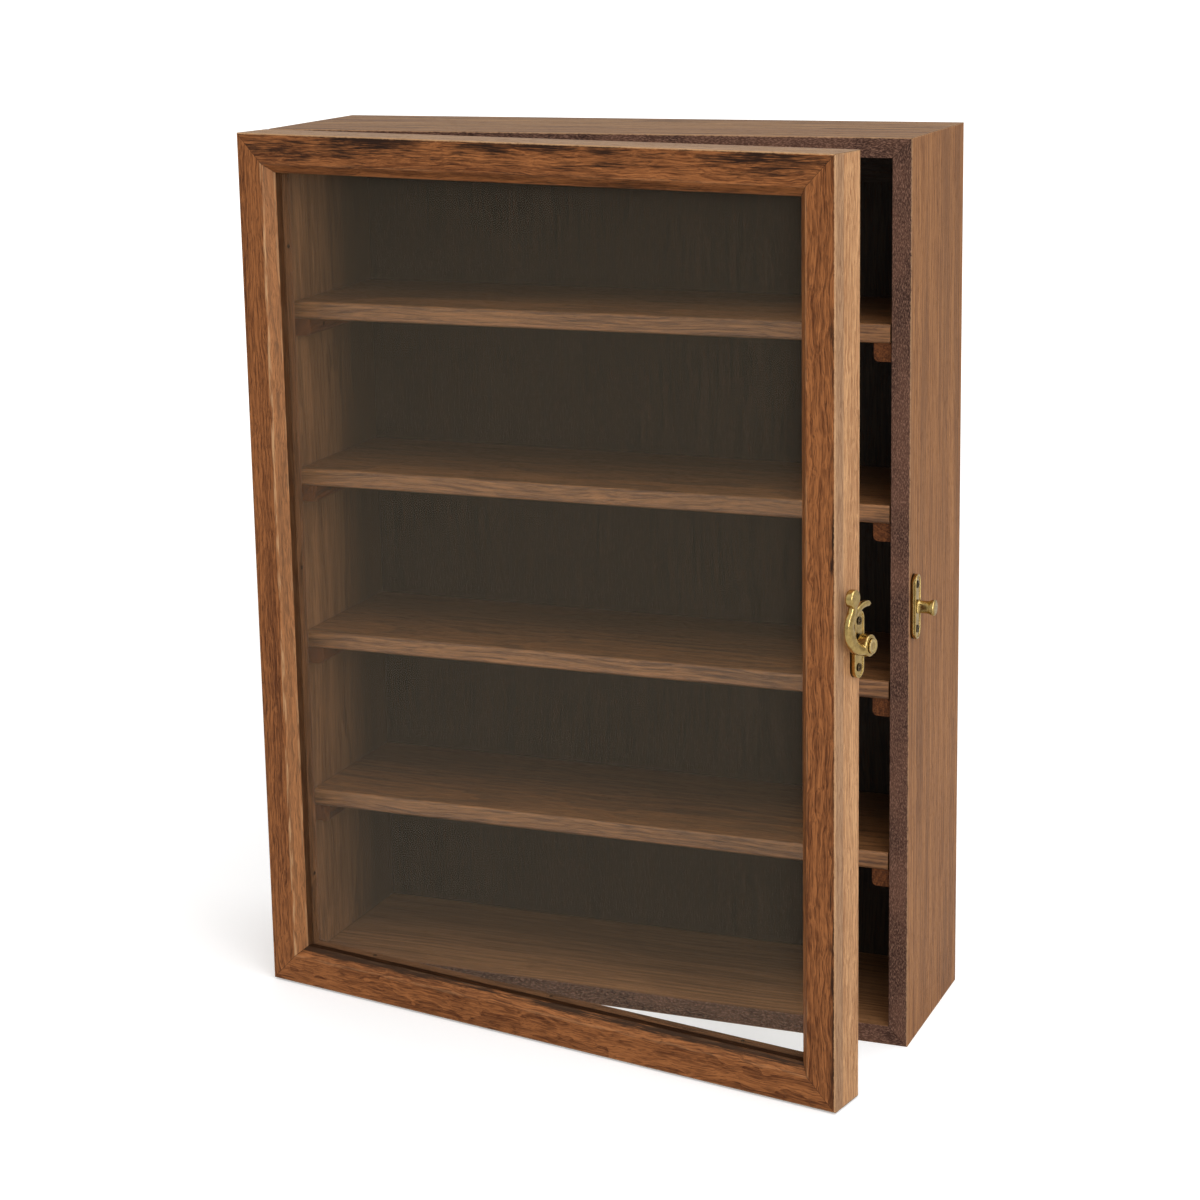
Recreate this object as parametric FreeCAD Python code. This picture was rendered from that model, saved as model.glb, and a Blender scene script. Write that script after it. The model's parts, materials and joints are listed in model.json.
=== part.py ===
import FreeCAD, Part
import math
import os

# A wooden display cabinet: a shallow mitred case with loose shelves and a glazed door hung on its left.
# Sizes are in millimetres. X runs to the right, Y to the back and Z up.
# The origin is the middle of the case's base, and the door stands ajar with its hook upright.

Vector = FreeCAD.Vector
origin = Vector(0, 0, 0)
half_turn = 180.0
quarter_turn = 90.0

# Cuts and fits that several pieces share
overrun = 1.0
fastener_clearance = 0.03
running_clearance = 0.05
running_gap = 0.2

# Case boards and back
cabinet_width = 315.0
cabinet_height = 420.0
case_depth = 88.0
board_thickness = 9.0
board_edge_radius = 0.5
back_thickness = 3.0
back_rabbet_width = 4.5
back_clearance = 0.3
back_brad_length = 11.0
back_row_brad_count = 3
back_column_brad_count = 4

# Shelves and the cleats that carry them
shelf_count = 4
shelf_thickness = 8.5
shelf_edge_radius = 1.6
shelf_end_clearance = 0.8
shelf_back_clearance = 0.5
shelf_front_setback = 0.6
bottom_bay_extra = 3.0
cleat_height = 8.3
cleat_width = 8.6
cleat_corner_radius = 2.4
cleat_front_setback = 2.0
cleat_brad_length = 13.5
cleat_brad_inset = 14.0

# Brads: thin headed nails
brad_radius = 0.55
brad_head_radius = 1.0
brad_head_height = 0.5
brad_point_height = 1.5

# Hanging rail and the two keyhole hangers behind it
hanging_rail_height = 18.0
hanging_rail_thickness = 10.0
hanger_width = 46.0
hanger_height = 16.0
hanger_thickness = 1.2
hanger_rise = 2.6
hanger_tab = 11.0
hanger_inset = 62.0
hanger_corner_radius = 2.0
keyhole_entry_radius = 4.2
keyhole_slot_radius = 2.2
keyhole_travel = 6.0
hanger_screw_length = 11.0

# Door frame, glass and the beads behind the glass
door_thickness = 22.5
door_face_width = 14.0
door_bevel_width = 4.4
door_bevel_depth = 5.0
door_edge_radius = 0.7
door_inner_edge_radius = 0.3
door_floor_gap = 0.8
door_open_angle = 10.6
glass_rabbet_width = 6.0
glass_rabbet_depth = 13.5
glass_thickness = 2.0
glass_clearance = 0.5
bead_width = 5.4
bead_thickness = 6.0
bead_edge_radius = 0.6
bead_brad_length = 11.0
bead_brad_end_inset = 36.0
bead_column_brad_count = 3
bead_row_brad_count = 3
corner_nail_leg = 4.0
corner_nail_thickness = 0.6
corner_nail_depth = 7.0
corner_nail_inset = 4.4

# Butt hinges
hinge_height = 32.0
hinge_end_inset = 62.0
hinge_leaf_thickness = 1.0
hinge_leaf_width = 7.0
hinge_recess_depth = 0.6
hinge_leaf_gap = 0.2
hinge_recess_clearance = 0.2
knuckle_radius = 2.4
knuckle_stand_off = 0.4
hinge_pin_radius = 1.0
hinge_pin_head_radius = 1.6
hinge_pin_head_height = 0.9
hinge_screw_spacing = 20.0
hinge_screw_length = 11.0

# Small countersunk screws
screw_radius = 0.9
screw_head_radius = 1.8
screw_point_height = 2.0
screw_slot_width = 0.5
screw_slot_depth = 0.5
screw_slot_reach = 1.1

# Swing hook on the door's edge, and the catch that it drops over
clasp_plate_height = 30.0
clasp_plate_width = 8.4
clasp_plate_thickness = 2.6
clasp_plate_edge_radius = 0.7
clasp_plate_inset = 0.5
clasp_screw_spacing = 20.6
clasp_screw_length = 8.6
catch_setback = 1.3
catch_tenon_radius = 1.5
catch_neck_radius = 3.0
catch_neck_length = 6.4
catch_head_radius = 3.65
catch_head_height = 1.6
catch_head_flare = 1.1
pivot_radius = 1.8
pivot_head_radius = 3.4
pivot_head_height = 0.8
hook_lift = 0.25
hook_thickness = 3.4
hook_edge_radius = 1.1
hook_eye_radius = 4.9
hook_eye_thickness = 5.4
hook_arm_radius = 10.4
hook_arm_width = 6.0
hook_arm_lean_angle = 18.0
hook_arm_sweep_angle = 144.0
hook_neck_radius = 6.5
hook_neck_sweep_angle = 62.0
hook_neck_width = 4.4
hook_knob_radius = 4.0
hook_knob_thickness = 3.8
hook_horn_radius = 15.1
hook_horn_width = 2.8
hook_horn_place_angle = 28.0
hook_horn_heading_angle = 57.0
hook_horn_sweep_angle = 73.0

# Places that follow from those sizes
case_left = -cabinet_width / 2
case_right = cabinet_width / 2
case_front = -case_depth / 2
case_rear = case_depth / 2
inner_left = case_left + board_thickness
inner_right = case_right - board_thickness
inner_width = inner_right - inner_left
inner_height = cabinet_height - 2 * board_thickness
back_front = case_rear - back_thickness
bay_total = inner_height - shelf_count * shelf_thickness - bottom_bay_extra
bay_height = bay_total / (shelf_count + 1)
cleat_front = case_front + cleat_front_setback
cleat_length = back_front - cleat_front
rail_bottom = cabinet_height - board_thickness - hanging_rail_height
hanger_middle = rail_bottom + hanging_rail_height / 2

door_gap = 2 * (hinge_leaf_thickness - hinge_recess_depth) + hinge_leaf_gap
door_back = case_front - door_gap
door_front = door_back - door_thickness
door_height = cabinet_height - door_floor_gap
door_rail_width = door_face_width + door_bevel_width
door_rabbet_start = door_rail_width - glass_rabbet_width
glass_back = door_back - glass_rabbet_depth + glass_thickness
bead_back = glass_back + bead_thickness

hinge_axis_x = case_left - knuckle_radius - knuckle_stand_off
hinge_axis_y = case_front - door_gap / 2
hinge_middles = {
    "lower": hinge_end_inset,
    "upper": cabinet_height - hinge_end_inset,
}

clasp_middle = cabinet_height / 2
clasp_y = door_back - clasp_plate_inset - clasp_plate_width / 2
catch_y = case_front + catch_setback + clasp_plate_width / 2
hook_underside = clasp_plate_thickness + hook_lift
eye_top = hook_underside + hook_eye_thickness
pivot_head_underside = eye_top + running_gap


def unit(vector):
    """The same direction, one long."""
    return vector / vector.Length


def rounded_outline(points, radii):
    """A closed wire through the points, with each corner rounded by its own radius."""
    starts = []
    ends = []
    arcs = []
    for index, corner in enumerate(points):
        before = unit(points[index - 1] - corner)
        after = unit(points[(index + 1) % len(points)] - corner)
        radius = radii[index]
        half_angle = before.getAngle(after) / 2
        reach = radius / math.tan(half_angle)
        inward = unit(before + after)
        starts.append(corner + before * reach)
        ends.append(corner + after * reach)
        middle = corner + inward * (radius / math.sin(half_angle) - radius)
        arcs.append(middle if radius > 0 else None)
    edges = []
    for index, middle in enumerate(arcs):
        if middle is not None:
            edges.append(Part.Arc(starts[index], middle, ends[index]).toShape())
        following = (index + 1) % len(points)
        edges.append(Part.LineSegment(ends[index], starts[following]).toShape())
    return Part.Wire(edges)


def turned(points):
    """A solid of revolution about Z from points given as radius and height."""
    corners = [Vector(radius, 0, height) for radius, height in points]
    face = Part.Face(Part.makePolygon(corners + corners[:1]))
    return face.revolve(origin, Vector(0, 0, 1), 2 * half_turn)


def box_between(low, high):
    """A box from its lowest corner to its highest one."""
    size = high - low
    return Part.makeBox(size.x, size.y, size.z, low)


def driven(shape, place, direction):
    """A copy of a fastener made along -Z, with its head at a place and its point along a direction."""
    copy = shape.copy()
    copy.Placement = FreeCAD.Placement(place, FreeCAD.Rotation(Vector(0, 0, -1), direction))
    return copy


def driven_all(shape, spots):
    """A copy of a fastener at each spot, given as a place and a direction."""
    return [driven(shape, place, direction) for place, direction in spots]


def cut_all(shape, tools):
    """The shape with every tool cut out of it."""
    return shape.cut(Part.makeCompound(tools))


def evenly(first, last, count):
    """Places spread evenly from the first to the last."""
    step = (last - first) / (count - 1)
    return [first + step * index for index in range(count)]


def spaced(first, last, count):
    """Places between the first and the last, with equal spaces at both ends too."""
    step = (last - first) / (count + 1)
    return [first + step * (index + 1) for index in range(count)]


def brad(length, clearance=0):
    """A headed nail below z = 0, or with a clearance the hole that it fills."""
    shank = brad_radius + clearance
    head = brad_head_radius + clearance
    head_bottom = -brad_head_height
    return turned([
        (0, 0), (head, 0), (head, head_bottom), (shank, head_bottom),
        (shank, brad_point_height - length), (0, -length),
    ])


def screw(length):
    """A countersunk screw below z = 0, with a cross slot in its head."""
    cone_bottom = screw_radius - screw_head_radius
    body = turned([
        (0, 0), (screw_head_radius, 0), (screw_radius, cone_bottom),
        (screw_radius, screw_point_height - length), (0, -length),
    ])
    slot = box_between(
        Vector(-screw_slot_reach, -screw_slot_width / 2, -screw_slot_depth),
        Vector(screw_slot_reach, screw_slot_width / 2, overrun),
    )
    crossing = slot.copy()
    crossing.rotate(origin, Vector(0, 0, 1), quarter_turn)
    return cut_all(body, [slot.fuse(crossing)])


def screw_hole(length):
    """The countersunk hole that a screw fills."""
    shank = screw_radius + fastener_clearance
    head = screw_head_radius + fastener_clearance
    return turned([
        (0, overrun), (head, overrun), (head, 0), (shank, shank - head),
        (shank, screw_point_height - length), (0, -length),
    ])


def mitred_member(outline, radii, length, width):
    """A bar along X with its outer edge on z = 0, and both ends cut at 45 degrees."""
    points = [Vector(0, y, reach) for reach, y in outline]
    bar = Part.Face(rounded_outline(points, radii)).extrude(Vector(length, 0, 0))
    depths = [y for reach, y in outline]
    low = min(depths) - overrun
    high = max(depths) + overrun
    corners = [
        Vector(-overrun, low, -overrun),
        Vector(length + overrun, low, -overrun),
        Vector(length - width - overrun, low, width + overrun),
        Vector(width + overrun, low, width + overrun),
    ]
    wedge = Part.Face(Part.makePolygon(corners + corners[:1])).extrude(Vector(0, high - low, 0))
    return bar.common(wedge)


def mitred_frame(outline, radii, low, high, width):
    """Four mitred bars round an upright rectangle. The outline runs inwards, then along Y."""
    across = high.x - low.x
    upward = high.z - low.z
    places = {
        "bottom": (Vector(low.x, 0, low.z), 0, across),
        "right": (Vector(high.x, 0, low.z), -quarter_turn, upward),
        "top": (Vector(high.x, 0, high.z), half_turn, across),
        "left": (Vector(low.x, 0, high.z), quarter_turn, upward),
    }
    members = {}
    for side, (place, turn, length) in places.items():
        member = mitred_member(outline, radii, length, width)
        member.rotate(origin, Vector(0, 1, 0), turn)
        member.translate(place)
        members[side] = member
    return members


def case_boards():
    """Top, bottom and sides, mitred at the corners and rabbeted for the back."""
    edge = board_edge_radius
    rabbet = board_thickness - back_rabbet_width
    outline = [
        (0, case_front), (board_thickness, case_front), (board_thickness, back_front),
        (rabbet, back_front), (rabbet, case_rear), (0, case_rear),
    ]
    radii = [edge, edge, 0, 0, 0, edge]
    low = Vector(case_left, 0, 0)
    high = Vector(case_right, 0, cabinet_height)
    return mitred_frame(outline, radii, low, high, board_thickness)


def back_board():
    """The thin panel let into the rabbets."""
    reach = back_rabbet_width - back_clearance
    return box_between(
        Vector(inner_left - reach, back_front, board_thickness - reach),
        Vector(inner_right + reach, case_rear, cabinet_height - board_thickness + reach),
    )


def back_brad_spots():
    """Brads along the middle of the rabbets, clear of the corners."""
    inset = back_rabbet_width / 2
    low_x = inner_left - inset
    high_x = inner_right + inset
    low_z = board_thickness - inset
    high_z = cabinet_height - low_z
    across = spaced(low_x, high_x, back_row_brad_count)
    upward = spaced(low_z, high_z, back_column_brad_count)
    places = [Vector(x, case_rear, z) for x in across for z in (low_z, high_z)]
    places += [Vector(x, case_rear, z) for x in (low_x, high_x) for z in upward]
    return [(place, Vector(0, -1, 0)) for place in places]


def shelf_bottom(index):
    """Height of a shelf's underside, with the lowest shelf numbered zero."""
    return board_thickness + bottom_bay_extra + bay_height + index * (bay_height + shelf_thickness)


def shelf(bottom):
    """A loose board with rounded long edges, resting on its cleats."""
    front = case_front + shelf_front_setback
    rear = back_front - shelf_back_clearance
    left = inner_left + shelf_end_clearance
    top = bottom + shelf_thickness
    points = [
        Vector(left, front, bottom), Vector(left, rear, bottom),
        Vector(left, rear, top), Vector(left, front, top),
    ]
    face = Part.Face(rounded_outline(points, [shelf_edge_radius] * len(points)))
    return face.extrude(Vector(inner_width - 2 * shelf_end_clearance, 0, 0))


def cleat(wall_x, inward, top):
    """A square strip on a side board, with its free lower corner rounded."""
    free_x = wall_x + inward * cleat_width
    low = top - cleat_height
    points = [
        Vector(wall_x, cleat_front, low), Vector(free_x, cleat_front, low),
        Vector(free_x, cleat_front, top), Vector(wall_x, cleat_front, top),
    ]
    face = Part.Face(rounded_outline(points, [0, cleat_corner_radius, 0, 0]))
    return face.extrude(Vector(0, cleat_length, 0))


def cleat_brad_spots(wall_x, inward, top):
    """Two brads through a cleat into its side board, at the cleat's mid height."""
    free_x = wall_x + inward * cleat_width
    ends = (cleat_front + cleat_brad_inset, back_front - cleat_brad_inset)
    outward = Vector(-inward, 0, 0)
    return [(Vector(free_x, y, top - cleat_height / 2), outward) for y in ends]


def hanging_rail():
    """A strip under the top board, which the hangers are screwed to through the back."""
    return box_between(
        Vector(inner_left, back_front - hanging_rail_thickness, rail_bottom),
        Vector(inner_right, back_front, rail_bottom + hanging_rail_height),
    )


def hanger(middle_x):
    """A bent strap whose raised middle has a keyhole for a wall screw."""
    low = case_rear
    rise = case_rear + hanger_rise
    outer = hanger_width / 2
    step = outer - hanger_tab
    metal = hanger_thickness
    line = [
        (-outer, low), (-step, low), (-step + hanger_rise, rise),
        (step - hanger_rise, rise), (step, low), (outer, low),
    ]
    outline = line + [(x, y + metal) for x, y in reversed(line)]
    base_z = hanger_middle - hanger_height / 2
    points = [Vector(middle_x + x, y, base_z) for x, y in outline]
    strap = Part.Face(Part.makePolygon(points + points[:1])).extrude(Vector(0, 0, hanger_height))
    ends = [edge for edge in strap.Edges if is_strap_corner(edge, middle_x, outer)]
    strap = strap.makeFillet(hanger_corner_radius, ends)
    entry_z = hanger_middle - keyhole_travel / 2
    slot_z = entry_z + keyhole_travel
    depth = hanger_rise + metal + overrun
    rearward = Vector(0, 1, 0)
    entry = Part.makeCylinder(keyhole_entry_radius, depth, Vector(middle_x, low, entry_z), rearward)
    slot_end = Part.makeCylinder(keyhole_slot_radius, depth, Vector(middle_x, low, slot_z), rearward)
    slot = box_between(
        Vector(middle_x - keyhole_slot_radius, low, entry_z),
        Vector(middle_x + keyhole_slot_radius, low + depth, slot_z),
    )
    return strap.cut(entry.fuse([slot, slot_end]))


def is_strap_corner(edge, middle_x, outer):
    """Whether an edge runs through the metal at one of a strap's four end corners."""
    ends = [vertex.Point for vertex in edge.Vertexes]
    along_depth = math.isclose(abs(ends[0].y - ends[1].y), hanger_thickness)
    at_tip = all(math.isclose(abs(point.x - middle_x), outer) for point in ends)
    return along_depth and at_tip


def hanger_screw_spots(middle_x):
    """One screw in the middle of each end tab, through the back into the hanging rail."""
    offset = hanger_width / 2 - hanger_tab / 2
    face = case_rear + hanger_thickness
    into_rail = Vector(0, -1, 0)
    return [(Vector(middle_x + side * offset, face, hanger_middle), into_rail) for side in (-1, 1)]


def door_frame():
    """Two stiles and two rails, mitred, bevelled towards the glass and rabbeted behind it."""
    edge = door_edge_radius
    soft = door_inner_edge_radius
    outline = [
        (0, door_back), (door_rabbet_start, door_back),
        (door_rabbet_start, door_back - glass_rabbet_depth),
        (door_rail_width, door_back - glass_rabbet_depth),
        (door_rail_width, door_front + door_bevel_depth),
        (door_face_width, door_front), (0, door_front),
    ]
    radii = [edge, soft, 0, 0, soft, soft, edge]
    low = Vector(case_left, 0, door_floor_gap)
    high = Vector(case_right, 0, cabinet_height)
    return mitred_frame(outline, radii, low, high, door_rail_width)


def glass_pane():
    """The pane, seated against the front lip of the rabbet."""
    inset = door_rabbet_start + glass_clearance
    return box_between(
        Vector(case_left + inset, glass_back - glass_thickness, door_floor_gap + inset),
        Vector(case_right - inset, glass_back, cabinet_height - inset),
    )


def glazing_beads():
    """Four mitred strips that hold the pane from behind."""
    outline = [
        (0, glass_back), (bead_width, glass_back), (bead_width, bead_back), (0, bead_back),
    ]
    radii = [0, 0, bead_edge_radius, 0]
    inset = door_rabbet_start
    low = Vector(case_left + inset, 0, door_floor_gap + inset)
    high = Vector(case_right - inset, 0, cabinet_height - inset)
    return mitred_frame(outline, radii, low, high, bead_width)


def bead_brads(length, clearance=0):
    """Brads through the beads into the frame, pointing outwards on every side."""
    nail = brad(length, clearance)
    inset = door_rabbet_start + bead_width
    low = Vector(case_left + inset, 0, door_floor_gap + inset)
    high = Vector(case_right - inset, 0, cabinet_height - inset)
    y = (glass_back + bead_back) / 2
    across = evenly(low.x + bead_brad_end_inset, high.x - bead_brad_end_inset, bead_row_brad_count)
    upward = evenly(low.z + bead_brad_end_inset, high.z - bead_brad_end_inset, bead_column_brad_count)
    nails = []
    for x in across:
        nails.append(driven(nail, Vector(x, y, low.z), Vector(0, 0, -1)))
        nails.append(driven(nail, Vector(x, y, high.z), Vector(0, 0, 1)))
    for z in upward:
        nails.append(driven(nail, Vector(low.x, y, z), Vector(-1, 0, 0)))
        nails.append(driven(nail, Vector(high.x, y, z), Vector(1, 0, 0)))
    return nails


def corner_nails(clearance=0):
    """V-shaped plates driven across the mitres from the back of the door."""
    metal = corner_nail_thickness + 2 * clearance
    leg = corner_nail_leg + clearance
    depth = corner_nail_depth + clearance
    one_leg = box_between(Vector(-clearance, -depth, -metal / 2), Vector(leg, 0, metal / 2))
    other_leg = one_leg.copy()
    other_leg.rotate(origin, Vector(0, 1, 0), -quarter_turn)
    nail = one_leg.fuse(other_leg).removeSplitter()
    corners = [
        (case_left, door_floor_gap, 0), (case_left, cabinet_height, quarter_turn),
        (case_right, cabinet_height, half_turn), (case_right, door_floor_gap, -quarter_turn),
    ]
    nails = []
    for x, z, turn in corners:
        inset = Vector(corner_nail_inset, 0, corner_nail_inset)
        one = nail.copy()
        one.translate(inset)
        one.rotate(origin, Vector(0, 1, 0), turn)
        one.translate(Vector(x, door_back, z))
        nails.append(one)
    return nails


def hinge_knuckles(middle):
    """Heights of the three knuckles: the door's one turns between the frame's two."""
    third = hinge_height / 3
    low = middle - hinge_height / 2
    return {
        "frame": [(low, low + third), (low + 2 * third, low + hinge_height)],
        "door": [(low + third + running_gap, low + 2 * third - running_gap)],
    }


def hinge_leaf(middle, owner):
    """A leaf with its knuckles, shaped round the other leaf's knuckles and bored for the pin."""
    toward = 1 if owner == "frame" else -1
    other = "door" if owner == "frame" else "frame"
    bore = hinge_pin_radius + (fastener_clearance if owner == "frame" else running_clearance)
    low = middle - hinge_height / 2
    near = hinge_axis_y + toward * hinge_leaf_gap / 2
    far = near + toward * hinge_leaf_thickness
    leaf = box_between(
        Vector(hinge_axis_x, min(near, far), low),
        Vector(case_left + hinge_leaf_width, max(near, far), low + hinge_height),
    )
    knuckles = hinge_knuckles(middle)
    axis = Vector(hinge_axis_x, hinge_axis_y, 0)
    for start, end in knuckles[owner]:
        leaf = leaf.fuse(Part.makeCylinder(knuckle_radius, end - start, axis + Vector(0, 0, start)))
    for start, end in knuckles[other]:
        foot = axis + Vector(0, 0, start - running_gap)
        reach = end - start + 2 * running_gap
        leaf = leaf.cut(Part.makeCylinder(knuckle_radius + running_gap, reach, foot))
    bore_length = hinge_height + 2 * overrun
    hole = Part.makeCylinder(bore, bore_length, axis + Vector(0, 0, low - overrun))
    holes = driven_all(screw_hole(hinge_screw_length), hinge_screw_spots(middle, owner))
    return cut_all(leaf, [hole] + holes).removeSplitter()


def hinge_screw_spots(middle, owner):
    """Where a leaf's two screws enter, and which way they point."""
    toward = 1 if owner == "frame" else -1
    face = hinge_axis_y + toward * hinge_leaf_gap / 2
    x = case_left + hinge_leaf_width / 2
    heights = (middle - hinge_screw_spacing / 2, middle + hinge_screw_spacing / 2)
    return [(Vector(x, face, z), Vector(0, toward, 0)) for z in heights]


def hinge_recess(middle):
    """The shallow seat that a leaf takes up in the case's edge and in the door's back."""
    room = hinge_recess_clearance
    low = middle - hinge_height / 2 - room
    high = middle + hinge_height / 2 + room
    return box_between(
        Vector(case_left - overrun, door_back - hinge_recess_depth, low),
        Vector(case_left + hinge_leaf_width + room, case_front + hinge_recess_depth, high),
    )


def hinge_pin(middle):
    """A pin with a low head at each end."""
    low = middle - hinge_height / 2
    high = low + hinge_height
    foot = low - hinge_pin_head_height
    top = high + hinge_pin_head_height
    shank = hinge_pin_radius
    head = hinge_pin_head_radius
    pin = turned([
        (0, foot), (shank, foot), (head, low), (shank, low),
        (shank, high), (head, high), (shank, top), (0, top),
    ])
    pin.translate(Vector(hinge_axis_x, hinge_axis_y, 0))
    return pin


def on_right_side(shape, y):
    """Stands a fitting made flat on XY, with its Y up, on the right-hand side at the clasp's height."""
    turn = FreeCAD.Rotation(Vector(0, 1, 0), Vector(0, 0, 1), Vector(1, 0, 0))
    copy = shape.copy()
    copy.Placement = FreeCAD.Placement(Vector(case_right, y, clasp_middle), turn)
    return copy


def clasp_screw_spots():
    """Where the two screws of a clasp plate enter it, above and below its middle."""
    inward = Vector(0, 0, -1)
    heights = (-clasp_screw_spacing / 2, clasp_screw_spacing / 2)
    return [(Vector(0, height, clasp_plate_thickness), inward) for height in heights]


def clasp_plate(middle_hole):
    """A round-ended plate with two countersunk holes and a hole in its middle."""
    end = clasp_plate_width / 2
    straight = clasp_plate_height / 2 - end
    arcs = [
        Part.Arc(Vector(end, straight, 0), Vector(0, straight + end, 0), Vector(-end, straight, 0)),
        Part.LineSegment(Vector(-end, straight, 0), Vector(-end, -straight, 0)),
        Part.Arc(Vector(-end, -straight, 0), Vector(0, -straight - end, 0), Vector(end, -straight, 0)),
        Part.LineSegment(Vector(end, -straight, 0), Vector(end, straight, 0)),
    ]
    face = Part.Face(Part.Wire([arc.toShape() for arc in arcs]))
    plate = face.extrude(Vector(0, 0, clasp_plate_thickness))
    rim = [edge for edge in plate.Edges if all(vertex.Z > 0 for vertex in edge.Vertexes)]
    plate = plate.makeFillet(clasp_plate_edge_radius, rim)
    hole = Part.makeCylinder(middle_hole, clasp_plate_thickness + 2 * overrun, Vector(0, 0, -overrun))
    holes = driven_all(screw_hole(clasp_screw_length), clasp_screw_spots())
    return cut_all(plate, [hole] + holes)


def catch_post():
    """A turned post with a flared head, riveted through the catch's plate."""
    base = clasp_plate_thickness
    neck_top = base + catch_neck_length
    return turned([
        (0, 0), (catch_tenon_radius, 0), (catch_tenon_radius, base), (catch_neck_radius, base),
        (catch_neck_radius, neck_top - catch_head_flare), (catch_head_radius, neck_top),
        (catch_head_radius, neck_top + catch_head_height / 2),
        (catch_neck_radius, neck_top + catch_head_height), (0, neck_top + catch_head_height),
    ])


def clasp_pivot():
    """The rivet that the hook turns on, with a wide low head."""
    top = pivot_head_underside + pivot_head_height
    return turned([
        (0, 0), (pivot_radius, 0), (pivot_radius, pivot_head_underside),
        (pivot_head_radius, pivot_head_underside),
        (pivot_head_radius, pivot_head_underside + pivot_head_height / 2),
        (pivot_head_radius - pivot_head_height / 2, top), (0, top),
    ])


def bent_bar(centre, radius, width, start, sweep):
    """A bar of rounded section, bent round a centre from a start angle through a sweep."""
    low = hook_underside
    high = hook_underside + hook_thickness
    inner = radius - width / 2
    outer = radius + width / 2
    points = [Vector(inner, 0, low), Vector(outer, 0, low), Vector(outer, 0, high), Vector(inner, 0, high)]
    face = Part.Face(rounded_outline(points, [hook_edge_radius] * len(points)))
    bar = face.revolve(origin, Vector(0, 0, 1), sweep)
    bar.rotate(origin, Vector(0, 0, 1), start)
    bar.translate(centre)
    return bar


def round_pad(centre, radius, thickness):
    """A disc with a rounded rim, for the eye, the knob and the tip of the horn."""
    low = hook_underside
    high = hook_underside + thickness
    edge = hook_edge_radius
    points = [Vector(0, 0, low), Vector(radius, 0, low), Vector(radius, 0, high), Vector(0, 0, high)]
    face = Part.Face(rounded_outline(points, [0, edge, edge, 0]))
    pad = face.revolve(origin, Vector(0, 0, 1), 2 * half_turn)
    pad.translate(centre)
    return pad


def on_circle(centre, radius, angle):
    """A point on a circle, with the angle in degrees from X."""
    turn = math.radians(angle)
    return centre + Vector(radius * math.cos(turn), radius * math.sin(turn), 0)


def clasp_hook():
    """The swing hook: an eye, a C-shaped arm, a reversed neck with a knob, and a horn inside."""
    arm_centre = on_circle(origin, hook_arm_radius, quarter_turn + hook_arm_lean_angle)
    arm_foot = hook_arm_lean_angle - quarter_turn
    arm_top = arm_foot - hook_arm_sweep_angle
    arm = bent_bar(arm_centre, hook_arm_radius, hook_arm_width, arm_top, hook_arm_sweep_angle)
    eye = round_pad(origin, hook_eye_radius, hook_eye_thickness)
    neck_centre = on_circle(arm_centre, hook_arm_radius + hook_neck_radius, arm_top)
    neck_start = arm_top + half_turn
    neck = bent_bar(neck_centre, hook_neck_radius, hook_neck_width, neck_start, hook_neck_sweep_angle)
    knob_centre = on_circle(neck_centre, hook_neck_radius, neck_start + hook_neck_sweep_angle)
    knob = round_pad(knob_centre, hook_knob_radius, hook_knob_thickness)
    horn_root = on_circle(arm_centre, hook_arm_radius, arm_top + hook_horn_place_angle)
    horn_centre = on_circle(horn_root, hook_horn_radius, hook_horn_heading_angle - quarter_turn)
    horn_start = hook_horn_heading_angle + quarter_turn - hook_horn_sweep_angle
    horn = bent_bar(horn_centre, hook_horn_radius, hook_horn_width, horn_start, hook_horn_sweep_angle)
    tip_centre = on_circle(horn_centre, hook_horn_radius, horn_start)
    tip = round_pad(tip_centre, hook_horn_width / 2, hook_thickness)
    hook = arm.fuse([eye, neck, knob, horn, tip])
    bore_length = hook_eye_thickness + 2 * overrun
    bore_foot = Vector(0, 0, hook_underside - overrun)
    return hook.cut(Part.makeCylinder(pivot_radius + running_clearance, bore_length, bore_foot))


def ajar(shape):
    """Turns a piece of the closed door about the hinges to where the door stands."""
    copy = shape.copy()
    axis = Vector(hinge_axis_x, hinge_axis_y, 0)
    copy.rotate(axis, Vector(0, 0, 1), -door_open_angle)
    return copy


def build_cleats():
    """The strips under the shelves, their brads, and the holes that these leave in each side board."""
    nodes = {}
    nails = []
    side_holes = {}
    for side, wall_x, inward in (("left", inner_left, 1), ("right", inner_right, -1)):
        side_holes[side] = []
        for index in range(shelf_count):
            top = shelf_bottom(index)
            spots = cleat_brad_spots(wall_x, inward, top)
            holes = driven_all(brad(cleat_brad_length, fastener_clearance), spots)
            side_holes[side] += holes
            nails += driven_all(brad(cleat_brad_length), spots)
            nodes[f"cleat_{side}_{index + 1}"] = cut_all(cleat(wall_x, inward, top), holes)
    nodes["cleat_brads"] = Part.makeCompound(nails)
    return nodes, side_holes


def build_hangers():
    """The two straps on the back, their screws, and the holes that these leave."""
    nodes = {}
    screws = []
    all_holes = []
    for side, middle_x in (("left", case_left + hanger_inset), ("right", case_right - hanger_inset)):
        spots = hanger_screw_spots(middle_x)
        holes = driven_all(screw_hole(hanger_screw_length), spots)
        all_holes += holes
        screws += driven_all(screw(hanger_screw_length), spots)
        nodes[f"hanger_{side}"] = cut_all(hanger(middle_x), holes)
    nodes["hanger_screws"] = Part.makeCompound(screws)
    return nodes, all_holes


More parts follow.
